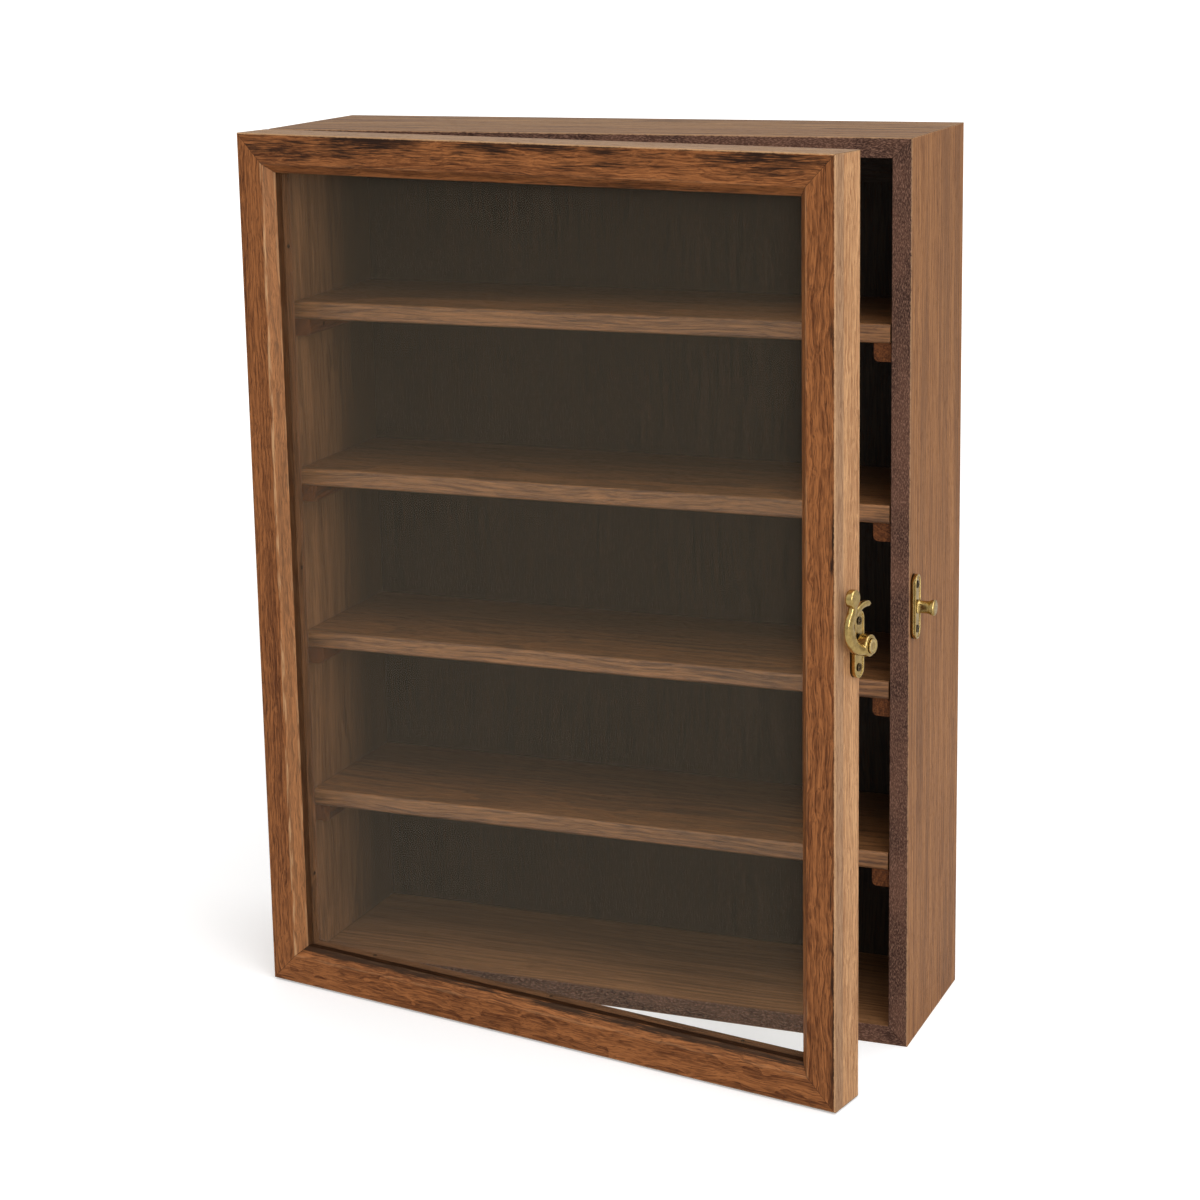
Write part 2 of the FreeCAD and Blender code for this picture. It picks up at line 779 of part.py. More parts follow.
def build_hinge_half(owner):
    """One owner's hinge leaves and screws, and what is cut out of the wood for them."""
    nodes = {}
    spots = []
    recesses = []
    for name, middle in hinge_middles.items():
        nodes[f"hinge_{name}_{owner}_leaf"] = hinge_leaf(middle, owner)
        spots += hinge_screw_spots(middle, owner)
        recesses.append(hinge_recess(middle))
    nodes[f"hinge_{owner}_screws"] = Part.makeCompound(driven_all(screw(hinge_screw_length), spots))
    return nodes, driven_all(screw_hole(hinge_screw_length), spots) + recesses


def build_plate(name, middle_hole, y):
    """A clasp plate with its screws, and what is cut out of the wood for them."""
    spots = clasp_screw_spots()
    screws = Part.makeCompound(driven_all(screw(clasp_screw_length), spots))
    holes = Part.makeCompound(driven_all(screw_hole(clasp_screw_length), spots))
    nodes = {
        f"{name}_plate": on_right_side(clasp_plate(middle_hole), y),
        f"{name}_screws": on_right_side(screws, y),
    }
    return nodes, [on_right_side(holes, y)]


def build_case():
    """Every piece that stays with the case, by name."""
    boards = case_boards()
    nodes, cleat_holes = build_cleats()
    hanger_nodes, hanger_holes = build_hangers()
    hinge_nodes, hinge_cuts = build_hinge_half("frame")
    catch_nodes, catch_holes = build_plate("catch", catch_tenon_radius + fastener_clearance, catch_y)
    nodes.update(hanger_nodes)
    nodes.update(hinge_nodes)
    nodes.update(catch_nodes)
    nodes["catch_post"] = on_right_side(catch_post(), catch_y)
    for name, middle in hinge_middles.items():
        nodes[f"hinge_{name}_pin"] = hinge_pin(middle)
    back_spots = back_brad_spots()
    back_holes = driven_all(brad(back_brad_length, fastener_clearance), back_spots)
    nodes["back_brads"] = Part.makeCompound(driven_all(brad(back_brad_length), back_spots))
    nodes["top_panel"] = cut_all(boards["top"], back_holes)
    nodes["bottom_panel"] = cut_all(boards["bottom"], back_holes)
    nodes["left_side"] = cut_all(boards["left"], back_holes + cleat_holes["left"] + hinge_cuts)
    nodes["right_side"] = cut_all(boards["right"], back_holes + cleat_holes["right"] + catch_holes)
    nodes["back_panel"] = cut_all(back_board(), back_holes + hanger_holes)
    nodes["hanging_rail"] = cut_all(hanging_rail(), hanger_holes)
    return nodes


def build_door():
    """Every piece that swings with the door, by name, still in the closed place."""
    frame = door_frame()
    nodes, hinge_cuts = build_hinge_half("door")
    clasp_nodes, clasp_holes = build_plate("clasp", pivot_radius + fastener_clearance, clasp_y)
    nodes.update(clasp_nodes)
    nodes["clasp_pivot"] = on_right_side(clasp_pivot(), clasp_y)
    bead_holes = bead_brads(bead_brad_length, fastener_clearance)
    frame_cuts = bead_holes + corner_nails(fastener_clearance)
    nodes["door_left_stile"] = cut_all(frame["left"], frame_cuts + hinge_cuts)
    nodes["door_right_stile"] = cut_all(frame["right"], frame_cuts + clasp_holes)
    nodes["door_top_rail"] = cut_all(frame["top"], frame_cuts)
    nodes["door_bottom_rail"] = cut_all(frame["bottom"], frame_cuts)
    nodes["door_glass"] = glass_pane()
    for side, bead in glazing_beads().items():
        nodes[f"glazing_bead_{side}"] = cut_all(bead, bead_holes)
    nodes["glazing_brads"] = Part.makeCompound(bead_brads(bead_brad_length))
    nodes["door_corner_nails"] = Part.makeCompound(corner_nails())
    return nodes


def build_all():
    """The whole cabinet at rest, by name."""
    nodes = build_case()
    for index in range(shelf_count):
        nodes[f"shelf_{index + 1}"] = shelf(shelf_bottom(index))
    moving = build_door()
    moving["clasp_hook"] = on_right_side(clasp_hook(), clasp_y)
    for name, shape in moving.items():
        nodes[name] = ajar(shape)
    return nodes


os.makedirs("parts", exist_ok=True)
for node_name, node_shape in build_all().items():
    node_shape.exportStep(f"parts/{node_name}.step")
    print(node_name, len(node_shape.Solids), round(node_shape.Volume), node_shape.isValid())
print("hinge axis", hinge_axis_x, hinge_axis_y)
print("clasp pivot, door closed", case_right, clasp_y, clasp_middle)
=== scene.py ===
# %% [markdown]
# # A glazed display cabinet
# The cabinet is a shallow wooden case with four loose shelves, a glazed door that stands ajar, and a small
# brass hook that holds the door shut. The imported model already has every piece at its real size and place.
# This lesson keeps those shapes, gives each surface its finish, and makes finer meshes for the small metal
# fittings.

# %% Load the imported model
import bmesh
import bpy
import json
import math
from mathutils import Matrix, Vector


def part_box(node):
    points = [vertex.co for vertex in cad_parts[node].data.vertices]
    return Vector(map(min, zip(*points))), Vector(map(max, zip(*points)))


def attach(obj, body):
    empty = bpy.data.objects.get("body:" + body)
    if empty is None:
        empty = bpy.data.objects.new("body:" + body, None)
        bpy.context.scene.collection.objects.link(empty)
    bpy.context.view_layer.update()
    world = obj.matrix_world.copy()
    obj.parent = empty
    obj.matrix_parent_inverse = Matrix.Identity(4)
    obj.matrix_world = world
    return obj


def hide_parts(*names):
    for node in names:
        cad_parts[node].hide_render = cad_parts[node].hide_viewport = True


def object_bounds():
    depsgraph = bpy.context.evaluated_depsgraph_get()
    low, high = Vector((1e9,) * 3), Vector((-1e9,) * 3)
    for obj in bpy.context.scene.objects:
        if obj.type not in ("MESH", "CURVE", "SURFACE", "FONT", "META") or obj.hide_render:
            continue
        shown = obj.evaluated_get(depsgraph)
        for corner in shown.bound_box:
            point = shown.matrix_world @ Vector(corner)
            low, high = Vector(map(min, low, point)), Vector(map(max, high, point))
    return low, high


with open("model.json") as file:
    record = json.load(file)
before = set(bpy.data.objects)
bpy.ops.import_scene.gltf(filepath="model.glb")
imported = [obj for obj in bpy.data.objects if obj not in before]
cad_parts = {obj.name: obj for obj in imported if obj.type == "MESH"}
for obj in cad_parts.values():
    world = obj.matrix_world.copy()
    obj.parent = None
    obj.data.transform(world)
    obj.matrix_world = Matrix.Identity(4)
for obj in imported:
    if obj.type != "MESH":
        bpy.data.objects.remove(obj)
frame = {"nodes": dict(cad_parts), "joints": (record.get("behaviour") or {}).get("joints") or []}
cad_low, cad_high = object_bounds()
print("size of the model in metres", [round(side, 4) for side in cad_high - cad_low])

# %% [markdown]
# ## Camera
# The photograph was taken from the front right and a little above the top board, from quite near, so the
# door's free edge looks taller than its hinged edge. The camera's place was found by matching the corners
# of the case and of the door. A small downward lens shift keeps the upright edges nearly parallel, as they
# are in the photograph.

# %% Camera
photo_side = 1200
focal_length_pixels = 2744.5
sensor_width_mm = 36.0
lens_shift_up = -0.08
camera_azimuth = math.radians(22.12)
camera_elevation = math.radians(12.21)
camera_roll = math.radians(-1.04)
camera_distance = 1.3251
camera_target = Vector((-0.0092, 0.0, 0.2383))


def add_object(name, data):
    """A new object in the scene that shows some data."""
    thing = bpy.data.objects.new(name, data)
    bpy.context.scene.collection.objects.link(thing)
    return thing


def backed_by(direction):
    """The turn of a camera or a lamp whose back points along a direction."""
    return direction.to_track_quat("Z", "Y").to_matrix().to_4x4()


camera_data = bpy.data.cameras.new("photo_camera")
camera_data.sensor_width = sensor_width_mm
camera_data.lens = focal_length_pixels / photo_side * sensor_width_mm
camera_data.shift_y = lens_shift_up
camera = add_object("photo_camera", camera_data)
level = math.cos(camera_elevation)
towards_camera = Vector((
    math.sin(camera_azimuth) * level,
    -math.cos(camera_azimuth) * level,
    math.sin(camera_elevation),
))
aim = backed_by(towards_camera) @ Matrix.Rotation(camera_roll, 4, "Z")
camera.matrix_world = Matrix.Translation(camera_target + towards_camera * camera_distance) @ aim
bpy.context.scene.camera = camera
print("camera at", [round(value, 3) for value in camera.location], "lens", round(camera_data.lens, 1), "mm")

# %% [markdown]
# ## Node helpers
# Every finish below is a small network of nodes. One helper fills a node's inputs with plain values or
# with other nodes' outputs, and a second adds a node and fills it in a single call. Others give
# arithmetic, soft steps, blends and noise. That keeps each finish short.

# %% Node helpers
def fill(tree, node, inputs):
    """Sets inputs of a node to plain values, or links them to other nodes' outputs."""
    for key, value in inputs.items():
        if isinstance(value, bpy.types.NodeSocket):
            tree.links.new(value, node.inputs[key])
        else:
            node.inputs[key].default_value = value


def put(tree, kind, inputs=None, **settings):
    """Adds a node, sets its properties and fills its inputs."""
    node = tree.nodes.new(kind)
    for name, value in settings.items():
        setattr(node, name, value)
    fill(tree, node, inputs or {})
    return node


def sums(tree, operation, *values):
    """The result of a Math node on up to three values or sockets."""
    return put(tree, "ShaderNodeMath", dict(enumerate(values)), operation=operation).outputs[0]


def vector_sums(tree, operation, *values):
    """The result of a Vector Math node on one or two vectors or sockets."""
    return put(tree, "ShaderNodeVectorMath", dict(enumerate(values)), operation=operation).outputs[0]


def split(tree, vector):
    """The three parts of a vector."""
    return put(tree, "ShaderNodeSeparateXYZ", {0: vector}).outputs


def soft_step(tree, value, start, end, low=0.0, high=1.0):
    """A smooth change from low to high while a value goes from start to end."""
    inputs = {"Value": value, "From Min": start, "From Max": end, "To Min": low, "To Max": high}
    return put(tree, "ShaderNodeMapRange", inputs, interpolation_type="SMOOTHSTEP").outputs["Result"]


def blend_colours(tree, share, first, second):
    """The colour that goes from the first to the second as the share goes from 0 to 1."""
    return put(tree, "ShaderNodeMix", {0: share, 6: first, 7: second}, data_type="RGBA").outputs[2]


def stretched_noise(tree, point, sizes, detail=3.0, roughness=0.55, distortion=0.0):
    """Noise whose grains have the given sizes along the three axes, in the units of the point."""
    scaled = vector_sums(tree, "MULTIPLY", point, tuple(1.0 / size for size in sizes))
    look = {"Scale": 1.0, "Detail": detail, "Roughness": roughness, "Distortion": distortion}
    return put(tree, "ShaderNodeTexNoise", {"Vector": scaled, **look}).outputs["Fac"]


print("helpers ready")

# %% Helpers for finishes and groups
def paint(red, green, blue):
    """A colour given as screen values from 0 to 255, as the linear colour that shaders use."""
    shares = [value / 255 for value in (red, green, blue)]
    linear = [share / 12.92 if share <= 0.04045 else ((share + 0.055) / 1.055) ** 2.4 for share in shares]
    return (*linear, 1.0)


def start_finish(name):
    """A new material with its node tree and its shader."""
    material = bpy.data.materials.new(name)
    material.use_nodes = True
    return material, material.node_tree, material.node_tree.nodes["Principled BSDF"]


def new_group(name, inputs, outputs):
    """An empty shader group. Its named inputs are numbers or vectors, and its named outputs are numbers."""
    tree = bpy.data.node_groups.new(name, "ShaderNodeTree")
    for socket_name, default in inputs.items():
        kind = "NodeSocketVector" if isinstance(default, tuple) else "NodeSocketFloat"
        socket = tree.interface.new_socket(socket_name, in_out="INPUT", socket_type=kind)
        socket.default_value = default
    for socket_name in outputs:
        tree.interface.new_socket(socket_name, in_out="OUTPUT", socket_type="NodeSocketFloat")
    return tree, put(tree, "NodeGroupInput").outputs, put(tree, "NodeGroupOutput")


def use_group(tree, group, inputs):
    """Places a shader group in a material and returns its outputs."""
    return put(tree, "ShaderNodeGroup", inputs, node_tree=group).outputs


print("white paint is", paint(255, 255, 255))

# %% [markdown]
# ## Studio
# The photograph has a pure white ground and soft light from all round. A large pale floor that glows a
# little stays white under soft shadows, which are then only strong where the wood nearly touches it. The
# sky is a soft grey that is brighter overhead. Three large soft lights shape the wood, reach into the case
# through the glass, and give the brass something to mirror.

# %% Floor
floor_reach = 30.0
near_radius = 0.4
far_radius = 2.2
near_glow = 0.32
far_glow = 0.7
seen_floor = (0.86, 0.86, 0.86, 1.0)
unseen_floor = (0.6, 0.58, 0.56, 1.0)


def pale_floor():
    """White that glows where it is looked at, more so far away. Other light meets a plain warm grey."""
    material, tree, shader = start_finish("pale_floor")
    rays = put(tree, "ShaderNodeLightPath").outputs
    seen = sums(tree, "MAXIMUM", rays["Is Camera Ray"], rays["Is Transmission Ray"])
    place = put(tree, "ShaderNodeTexCoord").outputs["Object"]
    from_middle = put(tree, "ShaderNodeVectorMath", {0: place}, operation="LENGTH").outputs["Value"]
    glow = soft_step(tree, from_middle, near_radius, far_radius, near_glow, far_glow)
    fill(tree, shader, {
        "Base Color": blend_colours(tree, seen, unseen_floor, seen_floor),
        "Roughness": 0.9,
        "Specular IOR Level": 0.0,
        "Emission Color": (1.0, 1.0, 1.0, 1.0),
        "Emission Strength": sums(tree, "MULTIPLY", seen, glow),
    })
    return material


floor_mesh = bpy.data.meshes.new("floor")
floor_corners = [(x * floor_reach, y * floor_reach, 0.0) for x, y in ((-1, -1), (1, -1), (1, 1), (-1, 1))]
floor_mesh.from_pydata(floor_corners, [], [(0, 1, 2, 3)])
floor_mesh.materials.append(pale_floor())
floor = add_object("floor", floor_mesh)
print("floor reaches", floor_reach, "m")

# %% Sky and soft lights
sky_colour = (1.0, 0.99, 0.98, 1.0)
horizon_light = 0.5
overhead_light = 0.75
overhead_height = 0.8


def soft_light(name, place, side, power):
    """A square area light that faces the middle of the cabinet."""
    data = bpy.data.lights.new(name, "AREA")
    data.size = side
    data.energy = power
    light = add_object(name, data)
    towards_light = Vector(place) - (cad_low + cad_high) / 2
    light.matrix_world = Matrix.Translation(place) @ backed_by(towards_light)


sky = bpy.data.worlds.new("studio")
sky.use_nodes = True
sky_tree = sky.node_tree
upward = split(sky_tree, put(sky_tree, "ShaderNodeTexCoord").outputs["Generated"])["Z"]
sky_light = soft_step(sky_tree, upward, 0.0, overhead_height, horizon_light, overhead_light)
fill(sky_tree, sky_tree.nodes["Background"], {"Color": sky_colour, "Strength": sky_light})
bpy.context.scene.world = sky
bpy.context.scene.view_settings.view_transform = "Standard"
soft_light("key_light", place=(1.3, -1.7, 0.9), side=1.2, power=18.0)
soft_light("side_light", place=(1.0, -0.6, 1.45), side=0.8, power=5.0)
soft_light("top_light", place=(0.5, 0.0, 2.4), side=1.6, power=13.0)

# %% [markdown]
# ## Where the grain runs
# Wood has a direction, so each finish needs to know where it is on the piece. Object coordinates give the
# place in metres. A first Mapping node turns them to millimetres from the middle of the case, or from the
# middle of the door as it is when shut: the door's pieces are stored ajar, so its Mapping turns them back
# by the angle that the hinge joint gives. A second Mapping then lays X along the grain.

# %% Places of the case and the door
def joint_named(name):
    """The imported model's entry for a joint."""
    return next(entry for entry in frame["joints"] if entry["name"] == name)


def shut_door_turn():
    """The matrix that takes a point of the door from ajar, as it is stored, to shut."""
    joint = joint_named("door_swing")
    pivot = Vector(joint["pos_m"])
    turn = Matrix.Rotation(math.radians(joint["range_deg"][0]), 4, Vector(joint["axis"]))
    return Matrix.Translation(pivot) @ turn @ Matrix.Translation(-pivot)


def box_of(points):
    """Lowest and highest corner round some points."""
    low = Vector([min(point[axis] for point in points) for axis in range(3)])
    high = Vector([max(point[axis] for point in points) for axis in range(3)])
    return low, high


def box_after(nodes, matrix):
    """Lowest and highest corner of some nodes once a matrix has moved them."""
    return box_of([matrix @ vertex.co for node in nodes for vertex in frame["nodes"][node].data.vertices])


mm = 1000.0
still = Matrix.Identity(4)
shut = shut_door_turn()
case_boards = ["top_panel", "bottom_panel", "left_side", "right_side"]
door_members = ["door_left_stile", "door_right_stile", "door_top_rail", "door_bottom_rail"]
case_low, case_high = box_after(case_boards, still)
door_low, door_high = box_after(door_members, shut)
case_half = (case_high - case_low) / 2 * mm
door_half = (door_high - door_low) / 2 * mm
case_place = (still, (case_low + case_high) / 2)
door_place = (shut, (door_low + door_high) / 2)
print("half the case in mm", [round(value, 2) for value in case_half])
print("half the door in mm", [round(value, 2) for value in door_half])

# %% Mapping helpers
grain_turns = {
    "x": (0.0, 0.0, 0.0),
    "y": (0.0, 0.0, -math.pi / 2),
    "z": (0.0, math.pi / 2, 0.0),
}


def point_on(tree, place):
    """The place on the case or on the shut door, in millimetres from its middle."""
    turn, middle = place
    inputs = {
        "Vector": put(tree, "ShaderNodeTexCoord").outputs["Object"],
        "Location": (turn.translation - middle) * mm,
        "Rotation": turn.to_euler(),
        "Scale": (mm, mm, mm),
    }
    return put(tree, "ShaderNodeMapping", inputs).outputs["Vector"]


def along_grain(tree, point, axis, shift=0.0):
    """The same place with X along the grain. A shift across it gives another cut of the same tree."""
    inputs = {"Vector": point, "Rotation": grain_turns[axis], "Location": (0.0, shift, shift)}
    return put(tree, "ShaderNodeMapping", inputs).outputs["Vector"]


print("grain can run along", sorted(grain_turns))

# %% [markdown]
# ## Grain, shared by all the wood
# Sawn wood shows three things at this size: long fibres a millimetre wide, growth rings that the saw has
# cut at a slant, and short open pores. Each could be drawn on, but a solid texture is better here, because
# the faces of a board then agree with each other round its edges. So the group mixes stretched noise with
# rings round a far axis. The shares say how much each adds to the tone, and the sizes are in millimetres.

# %% Grain group
slow_drift_sizes = (95.0, 34.0, 34.0)
slow_drift_reach = (0.0, 9.0, 9.0)
quick_drift_sizes = (15.0, 7.0, 7.0)
pith_place = (0.0, 31.0, 74.0)
ring_squeeze_shares = (0.05, 1.0, 1.0)
band_sizes = (120.0, 5.0, 5.0)
pore_sizes = (4.5, 0.36, 0.36)
fibre_share = 0.62
band_share = 0.28
ring_share = 0.1
pore_depth_share = 0.6


def wandered(tree, point, sizes, reach):
    """The same place, pushed across the grain by slow noise, so that the fibres wander."""
    scaled = vector_sums(tree, "MULTIPLY", point, tuple(1.0 / size for size in sizes))
    inputs = {"Vector": scaled, "Scale": 1.0, "Detail": 1.0}
    noise = put(tree, "ShaderNodeTexNoise", inputs).outputs["Color"]
    centred = vector_sums(tree, "SUBTRACT", noise, (0.5, 0.5, 0.5))
    return vector_sums(tree, "ADD", point, vector_sums(tree, "MULTIPLY", centred, reach))


def growth_rings(tree, point, spacing):
    """Slanted rings round a far pith. A wave texture of scale 1 repeats every twentieth of a full turn."""
    from_pith = vector_sums(tree, "ADD", point, pith_place)
    wave_period = math.tau / 20
    inputs = {
        "Vector": vector_sums(tree, "MULTIPLY", from_pith, ring_squeeze_shares),
        "Scale": sums(tree, "DIVIDE", wave_period, spacing),
        "Distortion": 2.5, "Detail": 3.0, "Detail Scale": 1.2, "Detail Roughness": 0.6,
    }
    look = {"wave_type": "RINGS", "rings_direction": "X", "wave_profile": "SAW"}
    return put(tree, "ShaderNodeTexWave", inputs, **look).outputs["Fac"]


def make_grain_group():
    """Tone, pores and relief of wood with its grain along X. Stretch is a fibre's length over its width."""
    tree, given, result = new_group(
        "wood_grain",
        {"Board": (0.0, 0.0, 0.0), "Fibre Width": 0.9, "Stretch": 18.0, "Ring Spacing": 2.6, "Wander": 1.0},
        ["Tone", "Pore", "Height"],
    )
    slow = wandered(tree, given["Board"], slow_drift_sizes, slow_drift_reach)
    sideways = put(tree, "ShaderNodeCombineXYZ", {1: given["Wander"], 2: given["Wander"]}).outputs[0]
    drifted = wandered(tree, slow, quick_drift_sizes, sideways)

    squeeze = sums(tree, "DIVIDE", 1.0, given["Stretch"])
    shorten = put(tree, "ShaderNodeCombineXYZ", {0: squeeze, 1: 1.0, 2: 1.0})
    fibre_inputs = {
        "Vector": vector_sums(tree, "MULTIPLY", drifted, shorten.outputs[0]),
        "Scale": sums(tree, "DIVIDE", 1.0, given["Fibre Width"]),
        "Detail": 4.0, "Roughness": 0.6,
    }
    fibre = put(tree, "ShaderNodeTexNoise", fibre_inputs).outputs["Fac"]
    band = stretched_noise(tree, slow, band_sizes)
    ring = growth_rings(tree, drifted, given["Ring Spacing"])
    mixed = sums(tree, "MULTIPLY_ADD", fibre, fibre_share, sums(tree, "MULTIPLY", band, band_share))
    mixed = sums(tree, "MULTIPLY_ADD", ring, ring_share, mixed)
    pore = soft_step(tree, stretched_noise(tree, drifted, pore_sizes, detail=1.0), 0.58, 0.7)
    fill(tree, result, {
        "Tone": soft_step(tree, mixed, 0.33, 0.66),
        "Pore": pore,
        "Height": sums(tree, "MULTIPLY_ADD", pore, -pore_depth_share, fibre),
    })
    return tree


wood_grain = make_grain_group()
print("group", wood_grain.name, "with", len(wood_grain.nodes), "nodes")

# %% [markdown]
# ## Scorched streaks, worn edges and joints
# The door was darkened unevenly, with nearly black streaks along the grain. Handling has rubbed the outer
# edges of the wood pale, and the mitred corners show as fine dark lines. All three depend on where a point
# lies between the faces of the case or the door, so one group measures that and the others build on it.

# %% Faces and scorch groups
patch_sizes = (55.0, 20.0, 20.0)
broad_streak_sizes = (30.0, 4.0, 4.0)
fine_streak_sizes = (13.0, 0.55, 0.55)
streak_share = 0.35
patch_share = 0.3


def make_faces_group():
    """How deep a point lies below the outer faces of a box, in millimetres."""
    tree, given, result = new_group(
        "below_faces",
        {"Point": (0.0, 0.0, 0.0), "Half Size": (1.0, 1.0, 1.0)},
        ["Side", "Front", "Back", "Level", "Outline"],
    )
    away = vector_sums(tree, "ABSOLUTE", given["Point"])
    depths = split(tree, vector_sums(tree, "SUBTRACT", given["Half Size"], away))
    forward = split(tree, vector_sums(tree, "ADD", given["Half Size"], given["Point"]))
    backward = split(tree, vector_sums(tree, "SUBTRACT", given["Half Size"], given["Point"]))
    fill(tree, result, {
        "Side": depths["X"],
        "Front": forward["Y"],
        "Back": backward["Y"],
        "Level": depths["Z"],
        "Outline": sums(tree, "MINIMUM", depths["X"], depths["Z"]),
    })
    return tree


def make_scorch_group():
    """Dark streaks along the grain. A bias adds to them or takes them away."""
    tree, given, result = new_group("scorched_streaks", {"Board": (0.0, 0.0, 0.0), "Bias": 0.0}, ["Scorch"])
    patch = stretched_noise(tree, given["Board"], patch_sizes, detail=2.0)
    curl = {"detail": 4.0, "roughness": 0.6, "distortion": 0.6}
    broad = stretched_noise(tree, given["Board"], broad_streak_sizes, **curl)
    fine = stretched_noise(tree, given["Board"], fine_streak_sizes, roughness=0.6)
    streak = sums(tree, "MULTIPLY_ADD", fine, streak_share, sums(tree, "MULTIPLY", broad, streak_share))
    streak = sums(tree, "ADD", sums(tree, "MULTIPLY_ADD", patch, patch_share, streak), given["Bias"])
    fill(tree, result, {"Scorch": soft_step(tree, streak, 0.54, 0.68)})
    return tree


below_faces = make_faces_group()
scorched_streaks = make_scorch_group()
print("groups", below_faces.name, scorched_streaks.name)

# %% Wear and joint groups
ragged_sizes = (2.2, 2.2, 2.2)
ragged_gain = 2.4
ragged_start = -0.5
least_wear = 0.05


def make_wear_group():
    """Rubbed places along the outer edges of a box, broken up by noise."""
    tree, given, result = new_group(
        "worn_edges",
        {"Point": (0.0, 0.0, 0.0), "Side": 0.0, "Front": 0.0, "Back": 0.0, "Level": 0.0, "Reach": 1.0},
        ["Wear"],
    )
    face = sums(tree, "MINIMUM", given["Front"], given["Back"])
    upright = sums(tree, "MAXIMUM", given["Side"], face)
    lying = sums(tree, "MAXIMUM", given["Level"], face)
    running_back = sums(tree, "MAXIMUM", given["Side"], given["Level"])
    nearest = sums(tree, "MINIMUM", sums(tree, "MINIMUM", upright, lying), running_back)
    ragged = stretched_noise(tree, given["Point"], ragged_sizes, detail=4.0, roughness=0.7)
    ragged = sums(tree, "MULTIPLY_ADD", ragged, ragged_gain, ragged_start)
    limit = sums(tree, "MULTIPLY", given["Reach"], ragged)
    share = sums(tree, "DIVIDE", nearest, sums(tree, "MAXIMUM", limit, least_wear))
    fill(tree, result, {"Wear": soft_step(tree, share, 1.2, 0.5)})
    return tree


def make_joint_group():
    """The fine line of a mitred corner, where a point is as far from the side as from the top or bottom."""
    tree, given, result = new_group("mitre_line", {"Side": 0.0, "Level": 0.0, "Width": 0.16}, ["Line"])
    gap = sums(tree, "ABSOLUTE", sums(tree, "SUBTRACT", given["Side"], given["Level"]))
    share = sums(tree, "DIVIDE", gap, given["Width"])
    fill(tree, result, {"Line": soft_step(tree, share, 1.3, 0.6)})
    return tree


worn_edges = make_wear_group()
mitre_line = make_joint_group()
print("groups", worn_edges.name, mitre_line.name)

# %% [markdown]
# ## Dressing wood
# All the wood takes its colour, gloss and relief in the same way: the tone of the grain runs from a dark
# to a light colour, pores are darker and duller, and the lacquer is thin, so it shines only a little. Wear
# and mitre lines come last, over everything else.

# %% Wood helpers
# Nearly black, for scorched streaks and mitre lines, and for the painted shade on the door's lip
scorch_and_shade_colour = paint(44, 24, 12)
pore_colour = paint(58, 32, 16)
# Pale colour of rubbed wear, and of the painted highlights on the door's arrises and bevels
rubbed_and_highlit_colour = paint(206, 162, 118)
pore_dullness = 0.22
thin_lacquer = 0.16


def grained(tree, grain, colours, pore_share=0.5):
    """The colour of plain wood: dark to light with its tone, and darker in the pores."""
    dark, light = colours
    colour = blend_colours(tree, grain["Tone"], dark, light)
    return blend_colours(tree, sums(tree, "MULTIPLY", grain["Pore"], pore_share), colour, pore_colour)


def aged(tree, colour, point, faces, reach, wear_share, line_share):
    """A colour with rubbed outer edges and the fine dark lines of the mitres."""
    measures = {key: faces[key] for key in ("Side", "Front", "Back", "Level")}
    wear = use_group(tree, worn_edges, {"Point": point, "Reach": reach, **measures})["Wear"]
    colour = blend_colours(tree, sums(tree, "MULTIPLY", wear, wear_share), colour, rubbed_and_highlit_colour)
    line = use_group(tree, mitre_line, {"Side": faces["Side"], "Level": faces["Level"]})["Line"]
    return blend_colours(tree, sums(tree, "MULTIPLY", line, line_share), colour, scorch_and_shade_colour)


def dress_wood(tree, shader, colour, grain, roughness, relief, lacquer=thin_lacquer):
    """Gives a wood shader its colour, a roughness that rises in the pores, and the relief of the grain."""
    bump = put(tree, "ShaderNodeBump", {"Strength": 0.6, "Distance": relief, "Height": grain["Height"]})
    fill(tree, shader, {
        "Base Color": colour,
        "Roughness": sums(tree, "MULTIPLY_ADD", grain["Pore"], pore_dullness, roughness),
        "Normal": bump.outputs["Normal"],
        "Specular IOR Level": lacquer,
    })


finishes = {}
print("lacquer shines", thin_lacquer)

# %% [markdown]
# ## Door wood
# The door frame is solid wood, stained orange brown and lacquered thinly. Its outer edges were left pale,
# and each member has its own share of scorched streaks: few on the hinge side, more along the top and on
# the bevel below the glass. One function makes the finish, and a small table says where the streaks of
# each member gather.

# %% Door measures and colours
door_colours = (paint(86, 45, 20), paint(168, 106, 60))
door_edge_colours = (paint(152, 103, 65), paint(214, 165, 118))
door_edge_front_colours = (paint(138, 100, 70), paint(188, 147, 110))
door_top_colours = (paint(120, 86, 56), paint(168, 130, 92))
edge_front_depth = 7.5
edge_front_blur = 0.5
rim_depths = (0.75, 0.3)
member_face_width = 14.0
member_inner_edge = 18.2
member_bevel_depth = 5.0
arris_sizes = (16.0, 1.2, 1.2)
face_line_widths = (1.1, 0.2)
inner_line_widths = (0.9, 0.1)
inner_line_share = 0.6
bevel_blur = 0.4
# Share of painted highlight that lightens the whole bevel
bevel_highlight_share = 0.22
lip_blur = 0.3
lip_start_blur = 0.5
# Share of painted shade on the lip
lip_shade_share = 0.8
edge_pore_share = 0.3
board_shift = 37.0
# Direction of the grain, the face below which streaks gather between two depths, with the bias at each depth,
# and how much the arrises are rubbed and painted with a highlight
member_looks = {
    "door_left_stile": ("z", ("Side", 16.0, 8.0, -0.14, -0.1), 0.75),
    "door_right_stile": ("z", ("Side", 5.0, 0.5, -0.07, 0.1), 0.2),
    "door_top_rail": ("x", ("Level", 14.0, 3.0, 0.04, 0.11), 0.1),
    "door_bottom_rail": ("x", ("Outline", 14.0, 17.6, -0.14, 0.17), 0.15),
}
print("members", list(member_looks))

